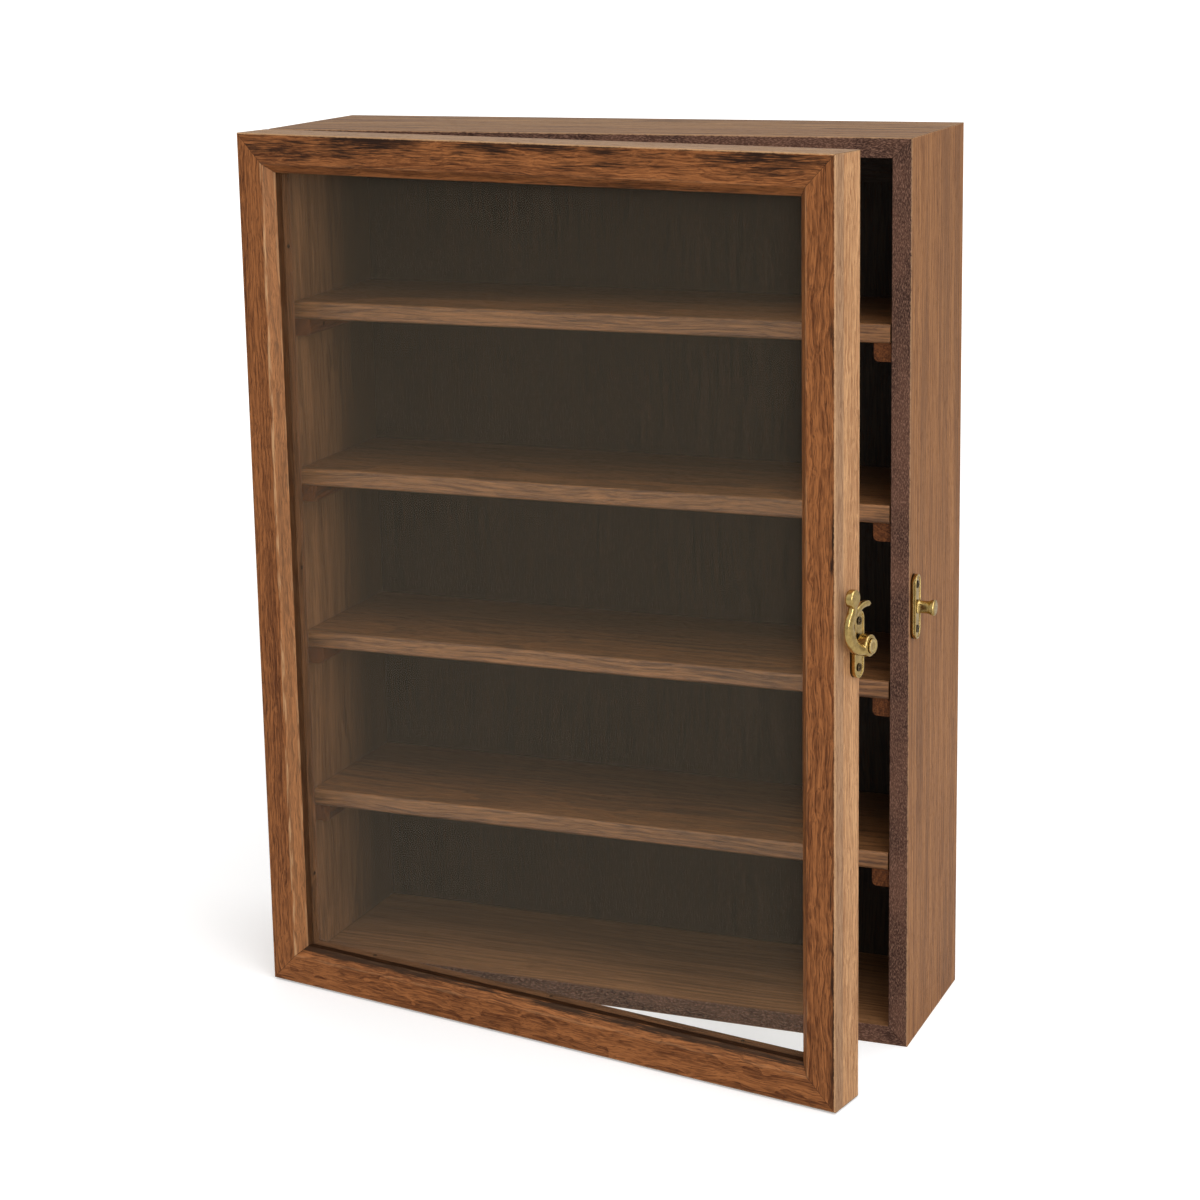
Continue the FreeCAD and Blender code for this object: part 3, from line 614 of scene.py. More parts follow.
# %% Door finish
def rubbed_and_highlit_arris(tree, board, outline, strength):
    """Bright, broken lines where the bevel meets the face and the glass, partly rubbed wear and partly
    painted highlight, over a bevel lightened by painted highlight.
    """
    from_face = sums(tree, "ABSOLUTE", sums(tree, "SUBTRACT", outline, member_face_width))
    from_inner = sums(tree, "ABSOLUTE", sums(tree, "SUBTRACT", outline, member_inner_edge))
    near_face = soft_step(tree, from_face, *face_line_widths)
    near_inner = soft_step(tree, from_inner, *inner_line_widths, 0.0, inner_line_share)
    bevel_ends = (member_face_width - bevel_blur, member_face_width + bevel_blur)
    # Painted highlight: the whole bevel is lighter than the face
    bevel_highlight = soft_step(tree, outline, *bevel_ends, 0.0, bevel_highlight_share)
    broken = soft_step(tree, stretched_noise(tree, board, arris_sizes), 0.42, 0.6)
    lines = sums(tree, "MULTIPLY", sums(tree, "MAXIMUM", near_face, near_inner), broken)
    return sums(tree, "MULTIPLY", sums(tree, "MAXIMUM", lines, bevel_highlight), strength)


def painted_lip_shade(tree, faces):
    """Painted shade on the lip behind the bevel that the glass rests on."""
    on_lip = soft_step(tree, faces["Outline"], member_inner_edge - lip_blur, member_inner_edge)
    behind_bevel = soft_step(tree, faces["Front"], member_bevel_depth, member_bevel_depth + lip_start_blur)
    return sums(tree, "MULTIPLY", sums(tree, "MULTIPLY", on_lip, behind_bevel), lip_shade_share)


def pale_edge(tree, grain, faces):
    """The colour of the outer edges: darker along the front, and greyer on top."""
    front_ends = (edge_front_depth + edge_front_blur, edge_front_depth - edge_front_blur)
    edge_front = grained(tree, grain, door_edge_front_colours, edge_pore_share)
    edge = grained(tree, grain, door_edge_colours, edge_pore_share)
    edge = blend_colours(tree, soft_step(tree, faces["Front"], *front_ends), edge, edge_front)
    top = grained(tree, grain, door_top_colours, edge_pore_share)
    return blend_colours(tree, soft_step(tree, faces["Level"], *rim_depths), edge, top)


def door_wood(name, axis, streaks, arris_rub_and_highlight, shift):
    """The finish of one member of the door frame."""
    material, tree, shader = start_finish(name)
    point = point_on(tree, door_place)
    board = along_grain(tree, point, axis, shift)
    grain_inputs = {"Board": board, "Fibre Width": 0.6, "Stretch": 22.0, "Ring Spacing": 2.3, "Wander": 3.2}
    grain = use_group(tree, wood_grain, grain_inputs)
    faces = use_group(tree, below_faces, {"Point": point, "Half Size": door_half})
    streak_face, *streak_ends = streaks
    bias = soft_step(tree, faces[streak_face], *streak_ends)
    scorch = use_group(tree, scorched_streaks, {"Board": board, "Bias": bias})["Scorch"]
    colour = blend_colours(tree, scorch, grained(tree, grain, door_colours), scorch_and_shade_colour)
    # Rubbed wear and painted highlight along the arrises and the bevel
    arris_rub_and_highlight_mask = rubbed_and_highlit_arris(tree, board, faces["Outline"], arris_rub_and_highlight)
    colour = blend_colours(tree, arris_rub_and_highlight_mask, colour, rubbed_and_highlit_colour)
    # Painted shade on the lip behind the bevel
    colour = blend_colours(tree, painted_lip_shade(tree, faces), colour, scorch_and_shade_colour)
    rim = soft_step(tree, faces["Outline"], *rim_depths)
    colour = blend_colours(tree, rim, colour, pale_edge(tree, grain, faces))
    colour = aged(tree, colour, point, faces, reach=0.9, wear_share=0.45, line_share=0.75)
    dress_wood(tree, shader, colour, grain, roughness=0.42, relief=0.00025)
    return material


for index, (member, look) in enumerate(member_looks.items()):
    finishes[member] = door_wood(member + "_wood", *look, board_shift * index)
print("door finishes", sorted(finishes))

# %% [markdown]
# ## Case boards
# The case is fibreboard with a thin veneer on its broad faces. The veneer is lighter and plainer than the
# door, with fine straight grain and soft darker bands. The raw front and back edges were only stained, so
# they are a dull purplish brown with pale flecks of fibre. A mask by depth behind the front puts that edge
# look on the same solid board. Inside, the walls carry painted shade: a dark brown that is strongest at the
# back and fades out towards the front.

# %% Fibreboard group
fleck_sizes = (1.3, 0.32, 0.32)
cloud_sizes = (26.0, 14.0, 14.0)


def make_fibreboard_group():
    """Pale flecks and darker clouds of a stained fibreboard edge."""
    tree, given, result = new_group("fibreboard_edge", {"Point": (0.0, 0.0, 0.0)}, ["Fleck", "Cloud"])
    fine = stretched_noise(tree, given["Point"], fleck_sizes, roughness=0.6, distortion=0.3)
    cloud = stretched_noise(tree, given["Point"], cloud_sizes)
    fleck = soft_step(tree, fine, 0.45, 0.66)
    fill(tree, result, {"Fleck": fleck, "Cloud": soft_step(tree, cloud, 0.3, 0.7)})
    return tree


fibreboard_edge = make_fibreboard_group()
print("group", fibreboard_edge.name)

# %% Case finish
case_colours = {
    "side": (paint(115, 72, 41), paint(178, 125, 78)),
    "level": (paint(80, 51, 26), paint(160, 119, 76)),
}
veneer_fibres = {"side": 0.75, "level": 1.2}
# Shares of painted shade inside the case: none at the front, the given share at the back
inner_shade_shares = {"side": 0.9, "level": 0.45, "shelf": 0.6}
inner_shade_depths = (8.0, 72.0)
inside_colours = (paint(100, 67, 41), paint(156, 111, 73))
shade_colour = paint(112, 76, 50)
# Dark brown of the painted shade inside the case
painted_inner_shade = paint(34, 26, 19)
raw_edge_colours = (paint(54, 34, 27), paint(88, 59, 46))
fleck_colour = paint(142, 106, 88)
shade_band_sizes = (260.0, 11.0, 11.0)
veneer_shift = 53.0
shade_share = 0.45
fleck_share = 0.8
outer_pore_share = 0.4
inner_pore_share = 0.3
raw_edge_depths = (0.5, 0.2)
inner_skin_start = 0.9
inner_skin_end = 0.3
board_low, board_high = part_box("top_panel")
board_thickness = (board_high.z - board_low.z) * mm


def shaded_towards_back(tree, colour, faces, most):
    """A colour with painted shade: none of it at the front of the case, most of it at the back."""
    share = soft_step(tree, faces["Front"], *inner_shade_depths, 0.0, most)
    return blend_colours(tree, share, colour, painted_inner_shade)


def raw_edge(tree, board):
    """The colour of a raw fibreboard edge, coloured dull purplish brown."""
    raw = use_group(tree, fibreboard_edge, {"Point": board})
    colour = blend_colours(tree, raw["Cloud"], *raw_edge_colours)
    return blend_colours(tree, sums(tree, "MULTIPLY", raw["Fleck"], fleck_share), colour, fleck_colour)


def case_board(name, axis, kind, shift):
    """Veneer outside and inside, with painted shade inside towards the back, and raw coloured fibreboard on
    the front and back edges.
    """
    material, tree, shader = start_finish(name)
    point = point_on(tree, case_place)
    board = along_grain(tree, point, axis, shift)
    fibre_width = veneer_fibres[kind]
    grain_inputs = {"Board": board, "Fibre Width": fibre_width, "Stretch": 70.0, "Ring Spacing": 3.4}
    grain = use_group(tree, wood_grain, grain_inputs)
    faces = use_group(tree, below_faces, {"Point": point, "Half Size": case_half})
    outer = grained(tree, grain, case_colours[kind], outer_pore_share)
    band = stretched_noise(tree, board, shade_band_sizes, detail=2.0)
    outer = blend_colours(tree, soft_step(tree, band, 0.44, 0.64, 0.0, shade_share), outer, shade_colour)
    inner = grained(tree, grain, inside_colours, inner_pore_share)
    # Painted shade: the inside faces darken towards the back of the case
    inner = shaded_towards_back(tree, inner, faces, inner_shade_shares[kind])
    inner_skin = (board_thickness - inner_skin_start, board_thickness - inner_skin_end)
    veneer = blend_colours(tree, soft_step(tree, faces["Outline"], *inner_skin), outer, inner)
    end_depth = sums(tree, "MINIMUM", faces["Front"], faces["Back"])
    on_edge = soft_step(tree, end_depth, *raw_edge_depths)
    colour = blend_colours(tree, on_edge, veneer, raw_edge(tree, board))
    colour = aged(tree, colour, point, faces, reach=0.7, wear_share=0.4, line_share=0.7)
    dress_wood(tree, shader, colour, grain, roughness=0.5, relief=0.00012)
    return material


boards = (("left_side", "z", "side"), ("right_side", "z", "side"),
          ("top_panel", "x", "level"), ("bottom_panel", "x", "level"))
for index, (node, axis, kind) in enumerate(boards):
    finishes[node] = case_board(node + "_veneer", axis, kind, veneer_shift * index)
print("board thickness", round(board_thickness, 2), "mm")

# %% [markdown]
# ## Shelves, cleats and dark strips
# The shelves are plain brown boards with the grain along them, with a glossier lacquer and the same painted
# shade as the walls towards the back. The cleats under their ends are warmer and show end grain at the front.
# The back panel and the hanging rail are stained nearly black, and the beads behind the glass are brown like
# the door. They are all simple wood, so one function serves them with other colours and another direction
# of grain.

# %% Inner wood
shelf_colours = (paint(75, 46, 24), paint(148, 101, 60))
cleat_colours = (paint(58, 29, 12), paint(110, 63, 31))
back_colours = (paint(15, 11, 8), paint(42, 32, 21))
rail_colours = (paint(22, 16, 11), paint(44, 32, 22))
bead_colours = (paint(72, 44, 25), paint(126, 83, 51))
glossy_lacquer = 0.6


def plain_wood(name, place, axis, colours, roughness=0.55, fibre_width=0.9, lacquer=thin_lacquer, inner_shade=0.0):
    """One wood with its grain along an axis, from a dark to a light colour. A share of painted shade darkens
    it towards the back of the case.
    """
    material, tree, shader = start_finish(name)
    point = point_on(tree, place)
    board = along_grain(tree, point, axis)
    grain_inputs = {"Board": board, "Fibre Width": fibre_width, "Stretch": 22.0, "Ring Spacing": 2.8}
    grain = use_group(tree, wood_grain, grain_inputs)
    colour = grained(tree, grain, colours)
    if inner_shade:
        faces = use_group(tree, below_faces, {"Point": point, "Half Size": case_half})
        # Painted shade towards the back of the case, where a share is given
        colour = shaded_towards_back(tree, colour, faces, inner_shade)
    dress_wood(tree, shader, colour, grain, roughness, 0.0002, lacquer)
    return material


shelf_finish = plain_wood(
    "shelf_wood", case_place, "x", shelf_colours,
    roughness=0.4, fibre_width=0.8, lacquer=glossy_lacquer, inner_shade=inner_shade_shares["shelf"],
)
cleat_finish = plain_wood("cleat_wood", case_place, "y", cleat_colours)
for node in frame["nodes"]:
    if node.startswith("shelf_"):
        finishes[node] = shelf_finish
    if node.startswith(("cleat_left", "cleat_right")):
        finishes[node] = cleat_finish
finishes["back_panel"] = plain_wood("back_stain", case_place, "z", back_colours, roughness=0.6)
finishes["hanging_rail"] = plain_wood("hanging_rail_stain", case_place, "x", rail_colours)
for axis, sides in (("x", ("bottom", "top")), ("z", ("left", "right"))):
    bead_finish = plain_wood("bead_stain_" + axis, door_place, axis, bead_colours)
    for side in sides:
        finishes["glazing_bead_" + side] = bead_finish
print("wood finishes so far", len(finishes))

# %% [markdown]
# ## Glass
# The pane is clear, but a thin film of dust catches the light of the room and veils the dark inside. A
# faint sheen gives that veil. Mirrored surroundings would do so too, but then the picture is slow to lose
# its noise, so the specular tint is black and the pane mirrors only at a glancing angle. A real pane lets
# light through to the shelves, while a refracting shader stops the shadow rays that lamps are sampled
# with. So the material turns plainly transparent for those rays, and for light that other surfaces have
# thrown back. Faint smudges roughen it here and there.

# %% Glass finish
smudge_sizes = (36.0, 36.0, 60.0)
smudge_roughness = 0.03


def pane_glass():
    """Clear glass that lets light reach what is behind it."""
    material, tree, shader = start_finish("pane_glass")
    smudge = stretched_noise(tree, point_on(tree, door_place), smudge_sizes, detail=4.0, roughness=0.6)
    fill(tree, shader, {
        "Base Color": (0.97, 0.98, 0.97, 1.0),
        "Transmission Weight": 1.0,
        "Roughness": soft_step(tree, smudge, 0.5, 0.75, 0.0, smudge_roughness),
        "IOR": 1.45,
        "Specular Tint": (0.0, 0.0, 0.0, 1.0),
        "Sheen Weight": 0.045,
        "Sheen Roughness": 1.0,
        "Sheen Tint": (1.0, 0.8, 0.55, 1.0),
    })
    rays = put(tree, "ShaderNodeLightPath").outputs
    unbent = sums(tree, "MAXIMUM", rays["Is Shadow Ray"], rays["Is Reflection Ray"])
    clear = put(tree, "ShaderNodeBsdfTransparent").outputs["BSDF"]
    mixed = put(tree, "ShaderNodeMixShader", {0: unbent, 1: shader.outputs["BSDF"], 2: clear})
    fill(tree, tree.nodes["Material Output"], {"Surface": mixed.outputs["Shader"]})
    return material


finishes["door_glass"] = pane_glass()
print("glass ready")

# %% [markdown]
# ## Metals
# The clasp and the hinges are cast and pressed brass with an antique finish: bright along the edges, partly
# where hands rub them and partly as a painted highlight, and dark in the hollows. Ambient occlusion finds the
# hollows and the edges on any mesh. Blotches of tarnish break up the rest. The hangers are plain zinced
# steel, the back's nails are dull steel, and the other nails took the stain of the wood.

# %% Metal finishes
blotch_sizes = (2.6, 2.6, 2.6)
scratch_sizes = (0.35, 0.35, 3.0)
scratch_depth = 0.00005
blotch_share = 0.55
blotch_dullness = 0.16
hollow_dullness = 0.25


def make_tarnish_group():
    """Blotches and fine scratches, for metal."""
    tree, given, result = new_group("tarnish", {"Point": (0.0, 0.0, 0.0)}, ["Blotch", "Scratch"])
    blotch = stretched_noise(tree, given["Point"], blotch_sizes, detail=5.0, roughness=0.65)
    scratch = stretched_noise(tree, given["Point"], scratch_sizes, roughness=0.7)
    fill(tree, result, {"Blotch": soft_step(tree, blotch, 0.35, 0.7), "Scratch": scratch})
    return tree


tarnish = make_tarnish_group()


def metal(name, colours, roughness, hollow_reach=0.0022, highlight_edge_reach=0.0008):
    """A metal that is duller in blotches, dark in its hollows, and bright along its edges, where rubbing and
    a painted highlight make it pale.
    """
    bright, dull, hollow, edge = [paint(*colour) for colour in colours]
    material, tree, shader = start_finish(name)
    marks = use_group(tree, tarnish, {"Point": point_on(tree, case_place)})
    colour = blend_colours(tree, sums(tree, "MULTIPLY", marks["Blotch"], blotch_share), bright, dull)
    open_sky = put(tree, "ShaderNodeAmbientOcclusion", {"Distance": hollow_reach}, samples=16)
    covered = soft_step(tree, open_sky.outputs["AO"], 0.75, 0.25)
    colour = blend_colours(tree, covered, colour, hollow)
    # Painted highlight over real rubbing: convex edges, found by ambient occlusion inside the body, turn pale
    body = put(tree, "ShaderNodeAmbientOcclusion", {"Distance": highlight_edge_reach}, samples=16, inside=True)
    polished_and_highlit = soft_step(tree, body.outputs["AO"], 0.8, 0.45)
    dulled = sums(tree, "MULTIPLY_ADD", marks["Blotch"], blotch_dullness, roughness)
    bump_inputs = {"Strength": 0.25, "Distance": scratch_depth, "Height": marks["Scratch"]}
    bump = put(tree, "ShaderNodeBump", bump_inputs)
    fill(tree, shader, {
        "Base Color": blend_colours(tree, polished_and_highlit, colour, edge),
        "Roughness": sums(tree, "MULTIPLY_ADD", covered, hollow_dullness, dulled),
        "Normal": bump.outputs["Normal"],
        "Metallic": 1.0,
    })
    return material


# Bright, dull, hollow and edge colour of each metal; the edge colour is rubbed metal with a painted highlight
brass_colours = ((204, 176, 112), (124, 99, 52), (26, 18, 8), (226, 202, 142))
screw_colours = ((98, 80, 50), (54, 41, 25), (10, 7, 4), (150, 124, 76))
zinc_colours = ((196, 198, 196), (150, 152, 150), (70, 70, 68), (214, 214, 210))
nail_colours = ((150, 146, 140), (96, 90, 84), (40, 36, 32), (214, 214, 210))
stained_nail_colours = ((52, 38, 28), (36, 25, 17), (16, 11, 8), (60, 44, 32))
antique_brass = metal("antique_brass", brass_colours, 0.14)
screw_brass = metal("screw_brass", screw_colours, 0.34, hollow_reach=0.0012, highlight_edge_reach=0.00015)
zinc = metal("zinced_steel", zinc_colours, 0.36)
nail_steel = metal("nail_steel", nail_colours, 0.42)
stained_nail = metal("stained_nail", stained_nail_colours, 0.6)
for node in frame["nodes"]:
    if node.startswith(("hinge_", "clasp_", "catch_")):
        finishes[node] = screw_brass if node.endswith("_screws") else antique_brass
    if node.startswith("hanger_"):
        finishes[node] = zinc
    if node.endswith(("_brads", "_nails")):
        finishes[node] = nail_steel if node == "back_brads" else stained_nail
print("metals", [one.name for one in (antique_brass, screw_brass, zinc, nail_steel, stained_nail)])

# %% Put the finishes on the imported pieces
for node, thing in frame["nodes"].items():
    if not thing.material_slots:
        thing.data.materials.append(finishes[node])
    for slot in thing.material_slots:
        slot.material = finishes[node]
print("finished", len(finishes), "of", len(frame["nodes"]), "nodes")

# %% [markdown]
# ## Screws and brads
# Small countersunk screws with a cross recess hold the plates, the hinges and the hangers. Thin brads hold
# the back, the cleats and the beads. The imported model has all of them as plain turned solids. Finer ones
# could be modelled one by one, but they only repeat, so a Geometry Nodes tree makes one from its measures
# and sets a copy at each place. The places and directions are read from the plain solids, so they stay
# right when the model changes.

# %% Places of the fasteners
weld_distance = 0.000001


def separate_boxes(node, turn):
    """Lowest and highest corner of each separate solid of a node, in a fixed order."""
    mesh = bmesh.new()
    mesh.from_mesh(frame["nodes"][node].data)
    bmesh.ops.transform(mesh, matrix=turn, verts=mesh.verts)
    bmesh.ops.remove_doubles(mesh, verts=mesh.verts, dist=weld_distance)
    waiting = set(mesh.verts)
    boxes = []
    while waiting:
        solid = [waiting.pop()]
        for vertex in solid:
            linked = {edge.other_vert(vertex) for edge in vertex.link_edges} & waiting
            waiting -= linked
            solid.extend(linked)
        boxes.append(box_of([vertex.co for vertex in solid]))
    mesh.free()
    return sorted(boxes, key=lambda box: [round(value, 5) for value in box[0]])


def fastener_places(node, place, out_direction):
    """Each head's middle, its direction out of the wood and its length. With none given it points inwards."""
    turn, centre = place
    places = []
    for low, high in separate_boxes(node, turn):
        middle = (low + high) / 2
        size = high - low
        out = out_direction
        if out is None:
            longest = max(range(3), key=lambda axis: size[axis])
            out = Vector((0.0, 0.0, 0.0))
            out[longest] = math.copysign(1.0, centre[longest] - middle[longest])
        length = abs(size.dot(out))
        head = middle + out * length / 2
        places.append((turn.inverted() @ head, turn.to_3x3().inverted() @ out, length))
    return places


to_back = Vector((0, 1, 0))
to_right = Vector((1, 0, 0))
fastener_rows = {
    "hinge_frame_screws": ("case", -to_back, "screw_brass"),
    "catch_screws": ("case", to_right, "screw_brass"),
    "hanger_screws": ("case", to_back, "zinc_steel"),
    "hinge_door_screws": ("door", to_back, "screw_brass"),
    "clasp_screws": ("door", to_right, "screw_brass"),
    "back_brads": ("case", to_back, "nail_steel"),
    "cleat_brads": ("case", None, "nail_steel"),
    "glazing_brads": ("door", None, "nail_steel"),
}
body_places = {"case": case_place, "door": door_place}
fastener_spots = {}
for node, (body, out, slot) in fastener_rows.items():
    fastener_spots[node] = fastener_places(node, body_places[body], out)
    print(node, len(fastener_spots[node]), "of", round(fastener_spots[node][0][2] * mm, 1), "mm")

# %% Parts of the fastener trees
bar_sides = 28


def new_maker(name, inputs):
    """An empty Geometry Nodes tree with a geometry in and out and further named inputs."""
    tree = bpy.data.node_groups.new(name, "GeometryNodeTree")
    tree.interface.new_socket("Geometry", in_out="INPUT", socket_type="NodeSocketGeometry")
    for socket_name, default in inputs.items():
        socket = tree.interface.new_socket(socket_name, in_out="INPUT", socket_type="NodeSocketFloat")
        socket.default_value = default
    tree.interface.new_socket("Seed", in_out="INPUT", socket_type="NodeSocketInt")
    tree.interface.new_socket("Material", in_out="INPUT", socket_type="NodeSocketMaterial")
    tree.interface.new_socket("Geometry", in_out="OUTPUT", socket_type="NodeSocketGeometry")
    return tree, put(tree, "NodeGroupInput").outputs, put(tree, "NodeGroupOutput")


def lowered(tree, geometry, drop):
    """A geometry moved down by a distance."""
    shift = put(tree, "ShaderNodeCombineXYZ", {2: sums(tree, "MULTIPLY", drop, -1.0)}).outputs[0]
    return put(tree, "GeometryNodeTransform", {"Geometry": geometry, "Translation": shift}).outputs[0]


def round_bar(tree, top_radius, bottom_radius, height, top_drop):
    """A straight or tapered round bar whose top is a distance below zero."""
    radii = {"Radius Top": top_radius, "Radius Bottom": bottom_radius}
    bar = put(tree, "GeometryNodeMeshCone", {"Vertices": bar_sides, "Depth": height, **radii}).outputs["Mesh"]
    return lowered(tree, bar, sums(tree, "ADD", height, top_drop))


def link_all(tree, geometries, socket):
    """Links several geometries to one socket that takes many."""
    for geometry in geometries:
        tree.links.new(geometry, socket)


def set_at_places(tree, given, result, pieces):
    """Sets a copy of the joined pieces at each point, along its direction and turned at random about it."""
    whole_piece = put(tree, "GeometryNodeJoinGeometry")
    link_all(tree, pieces, whole_piece.inputs[0])
    out = put(tree, "GeometryNodeInputNamedAttribute", {"Name": "out"}, data_type="FLOAT_VECTOR").outputs[0]
    along = put(tree, "FunctionNodeAlignRotationToVector", {"Vector": out}, axis="Z").outputs[0]
    chance = put(tree, "FunctionNodeRandomValue", {"Seed": given["Seed"], 3: math.tau}, data_type="FLOAT")
    spin_inputs = {"Axis": (0, 0, 1), "Angle": chance.outputs[1]}
    spin = put(tree, "FunctionNodeAxisAngleToRotation", spin_inputs).outputs[0]
    turn_inputs = {"Rotation": along, "Rotate By": spin}
    turned = put(tree, "FunctionNodeRotateRotation", turn_inputs, rotation_space="LOCAL").outputs[0]
    copy_inputs = {"Points": given["Geometry"], "Instance": whole_piece.outputs[0], "Rotation": turned}
    copies = put(tree, "GeometryNodeInstanceOnPoints", copy_inputs).outputs[0]
    realized = put(tree, "GeometryNodeRealizeInstances", {"Geometry": copies}).outputs[0]
    finish = {"Geometry": realized, "Material": given["Material"]}
    fill(tree, result, {"Geometry": put(tree, "GeometryNodeSetMaterial", finish).outputs[0]})


print("bars have", bar_sides, "sides")

# %% Tree that makes a screw
core_share = 0.7
slot_length_share = 1.2
slot_width_share = 0.3
slot_depth_share = 1.1
screw_point_share = 2.0
thread_share = 0.85
screw_tip_radius = 0.00005
spiral_steps = 20


def cut_recess(tree, head, head_radius, head_height):
    """A screw's head with a cross recess."""
    slot_length = sums(tree, "MULTIPLY", head_radius, slot_length_share)
    slot_width = sums(tree, "MULTIPLY", head_radius, slot_width_share)
    slot_depth = sums(tree, "MULTIPLY", head_height, slot_depth_share)
    slots = []
    for length, width in ((slot_length, slot_width), (slot_width, slot_length)):
        size = put(tree, "ShaderNodeCombineXYZ", {0: length, 1: width, 2: slot_depth}).outputs[0]
        slots.append(put(tree, "GeometryNodeMeshCube", {"Size": size}).outputs["Mesh"])
    recessed = put(tree, "GeometryNodeMeshBoolean", {"Mesh 1": head}, operation="DIFFERENCE")
    link_all(tree, slots, recessed.inputs["Mesh 2"])
    return recessed.outputs["Mesh"]


def spiral_thread(tree, core, shank_radius, turns, height):
    """The ridge of a screw's thread, a three-sided bar wound round the core."""
    ridge = sums(tree, "SUBTRACT", shank_radius, core)
    path_inputs = {
        "Resolution": spiral_steps, "Rotations": turns,
        "Start Radius": core, "End Radius": core, "Height": height,
    }
    path = put(tree, "GeometryNodeCurveSpiral", path_inputs).outputs["Curve"]
    section_inputs = {"Resolution": 3, "Radius": ridge}
    section = put(tree, "GeometryNodeCurvePrimitiveCircle", section_inputs, mode="RADIUS")
    thread_inputs = {"Curve": path, "Profile Curve": section.outputs["Curve"], "Fill Caps": True}
    return put(tree, "GeometryNodeCurveToMesh", thread_inputs).outputs["Mesh"]


def make_screw_tree():
    """A countersunk screw with a cross recess and a spiral thread."""
    measures = {"Head Radius": 0.0018, "Shank Radius": 0.0009, "Length": 0.011, "Thread Turns": 8.0}
    tree, given, result = new_maker("cross_screws", measures)
    core = sums(tree, "MULTIPLY", given["Shank Radius"], core_share)
    head_height = sums(tree, "SUBTRACT", given["Head Radius"], given["Shank Radius"])
    head = round_bar(tree, given["Head Radius"], given["Shank Radius"], head_height, 0.0)
    head = cut_recess(tree, head, given["Head Radius"], head_height)
    point_height = sums(tree, "MULTIPLY", given["Shank Radius"], screw_point_share)
    straight = sums(tree, "SUBTRACT", sums(tree, "SUBTRACT", given["Length"], head_height), point_height)
    bar = round_bar(tree, core, core, straight, head_height)
    bar_end = sums(tree, "ADD", head_height, straight)
    point = round_bar(tree, core, screw_tip_radius, point_height, bar_end)
    thread_height = sums(tree, "MULTIPLY", straight, thread_share)
    thread = spiral_thread(tree, core, given["Shank Radius"], given["Thread Turns"], thread_height)
    set_at_places(tree, given, result, [head, bar, point, lowered(tree, thread, bar_end)])
    return tree


screw_tree = make_screw_tree()
print("tree", screw_tree.name, "with", len(screw_tree.nodes), "nodes")

# %% Tree that makes a brad
rim_height_share = 0.3
dome_share = 0.72
brad_point_share = 3.0
brad_tip_radius = 0.00004


def make_brad_tree():
    """A thin nail with a low head and a sharp point."""
    measures = {"Head Radius": 0.001, "Head Height": 0.0005, "Shank Radius": 0.00055, "Length": 0.011}
    tree, given, result = new_maker("thin_brads", measures)
    rim = sums(tree, "MULTIPLY", given["Head Height"], rim_height_share)
    dome_radius = sums(tree, "MULTIPLY", given["Head Radius"], dome_share)
    dome = round_bar(tree, dome_radius, given["Head Radius"], rim, 0.0)
    disc_height = sums(tree, "SUBTRACT", given["Head Height"], rim)
    disc = round_bar(tree, given["Head Radius"], given["Head Radius"], disc_height, rim)
    point_height = sums(tree, "MULTIPLY", given["Shank Radius"], brad_point_share)
    below_head = sums(tree, "SUBTRACT", given["Length"], given["Head Height"])
    straight = sums(tree, "SUBTRACT", below_head, point_height)
    bar = round_bar(tree, given["Shank Radius"], given["Shank Radius"], straight, given["Head Height"])
    bar_end = sums(tree, "ADD", given["Head Height"], straight)
    point = round_bar(tree, given["Shank Radius"], brad_tip_radius, point_height, bar_end)
    set_at_places(tree, given, result, [dome, disc, bar, point])
    return tree


brad_tree = make_brad_tree()
print("tree", brad_tree.name, "with", len(brad_tree.nodes), "nodes")

# %% Set the fasteners
screw_seed = 4
brad_seed = 9


def apply_modifiers(thing):
    """Replaces an object's mesh by what its modifiers make of it."""
    baked = bpy.data.meshes.new_from_object(thing.evaluated_get(bpy.context.evaluated_depsgraph_get()))
    thing.modifiers.clear()
    thing.data = baked


def stand_in(piece, body, node):
    """Lets a piece move with a body and stand for a node of the model."""
    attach(piece, body)
    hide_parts(node)
    print(piece.name, len(piece.data.polygons), "faces")


def bake_fasteners(name, tree, seed, spots, finish):
    """One plain mesh with a fastener at each spot."""
    mesh = bpy.data.meshes.new(name)
    mesh.from_pydata([place for place, out, length in spots], [], [])
    directions = mesh.attributes.new("out", "FLOAT_VECTOR", "POINT")
    for entry, (place, out, length) in zip(directions.data, spots):
        entry.vector = out
    thing = add_object(name, mesh)
    maker = thing.modifiers.new("maker", "NODES")
    maker.node_group = tree
    values = {"Length": spots[0][2], "Seed": seed, "Material": finish}
    for socket in tree.interface.items_tree:
        if socket.in_out == "INPUT" and socket.name in values:
            maker[socket.identifier] = values[socket.name]
    apply_modifiers(thing)
    return thing


for node, (body, out, slot) in fastener_rows.items():
    maker_tree, seed = (brad_tree, brad_seed) if node.endswith("_brads") else (screw_tree, screw_seed)
    fastener = bake_fasteners("fine_" + node, maker_tree, seed, fastener_spots[node], finishes[node])
    stand_in(fastener, body, node)

# %% [markdown]
# ## Clasp
# The two plates, the rivet, the catch's post and the hook are small brass castings with soft edges. The
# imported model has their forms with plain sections. Here they get what a casting shows: a raised rim round
# each plate, a dished rivet head, a waisted post, and a hook whose arm swells in the middle and narrows to
# its knob. Each shape is a row of rings with a skin over them, and the corners of every profile are
# rounded as a mould rounds them.

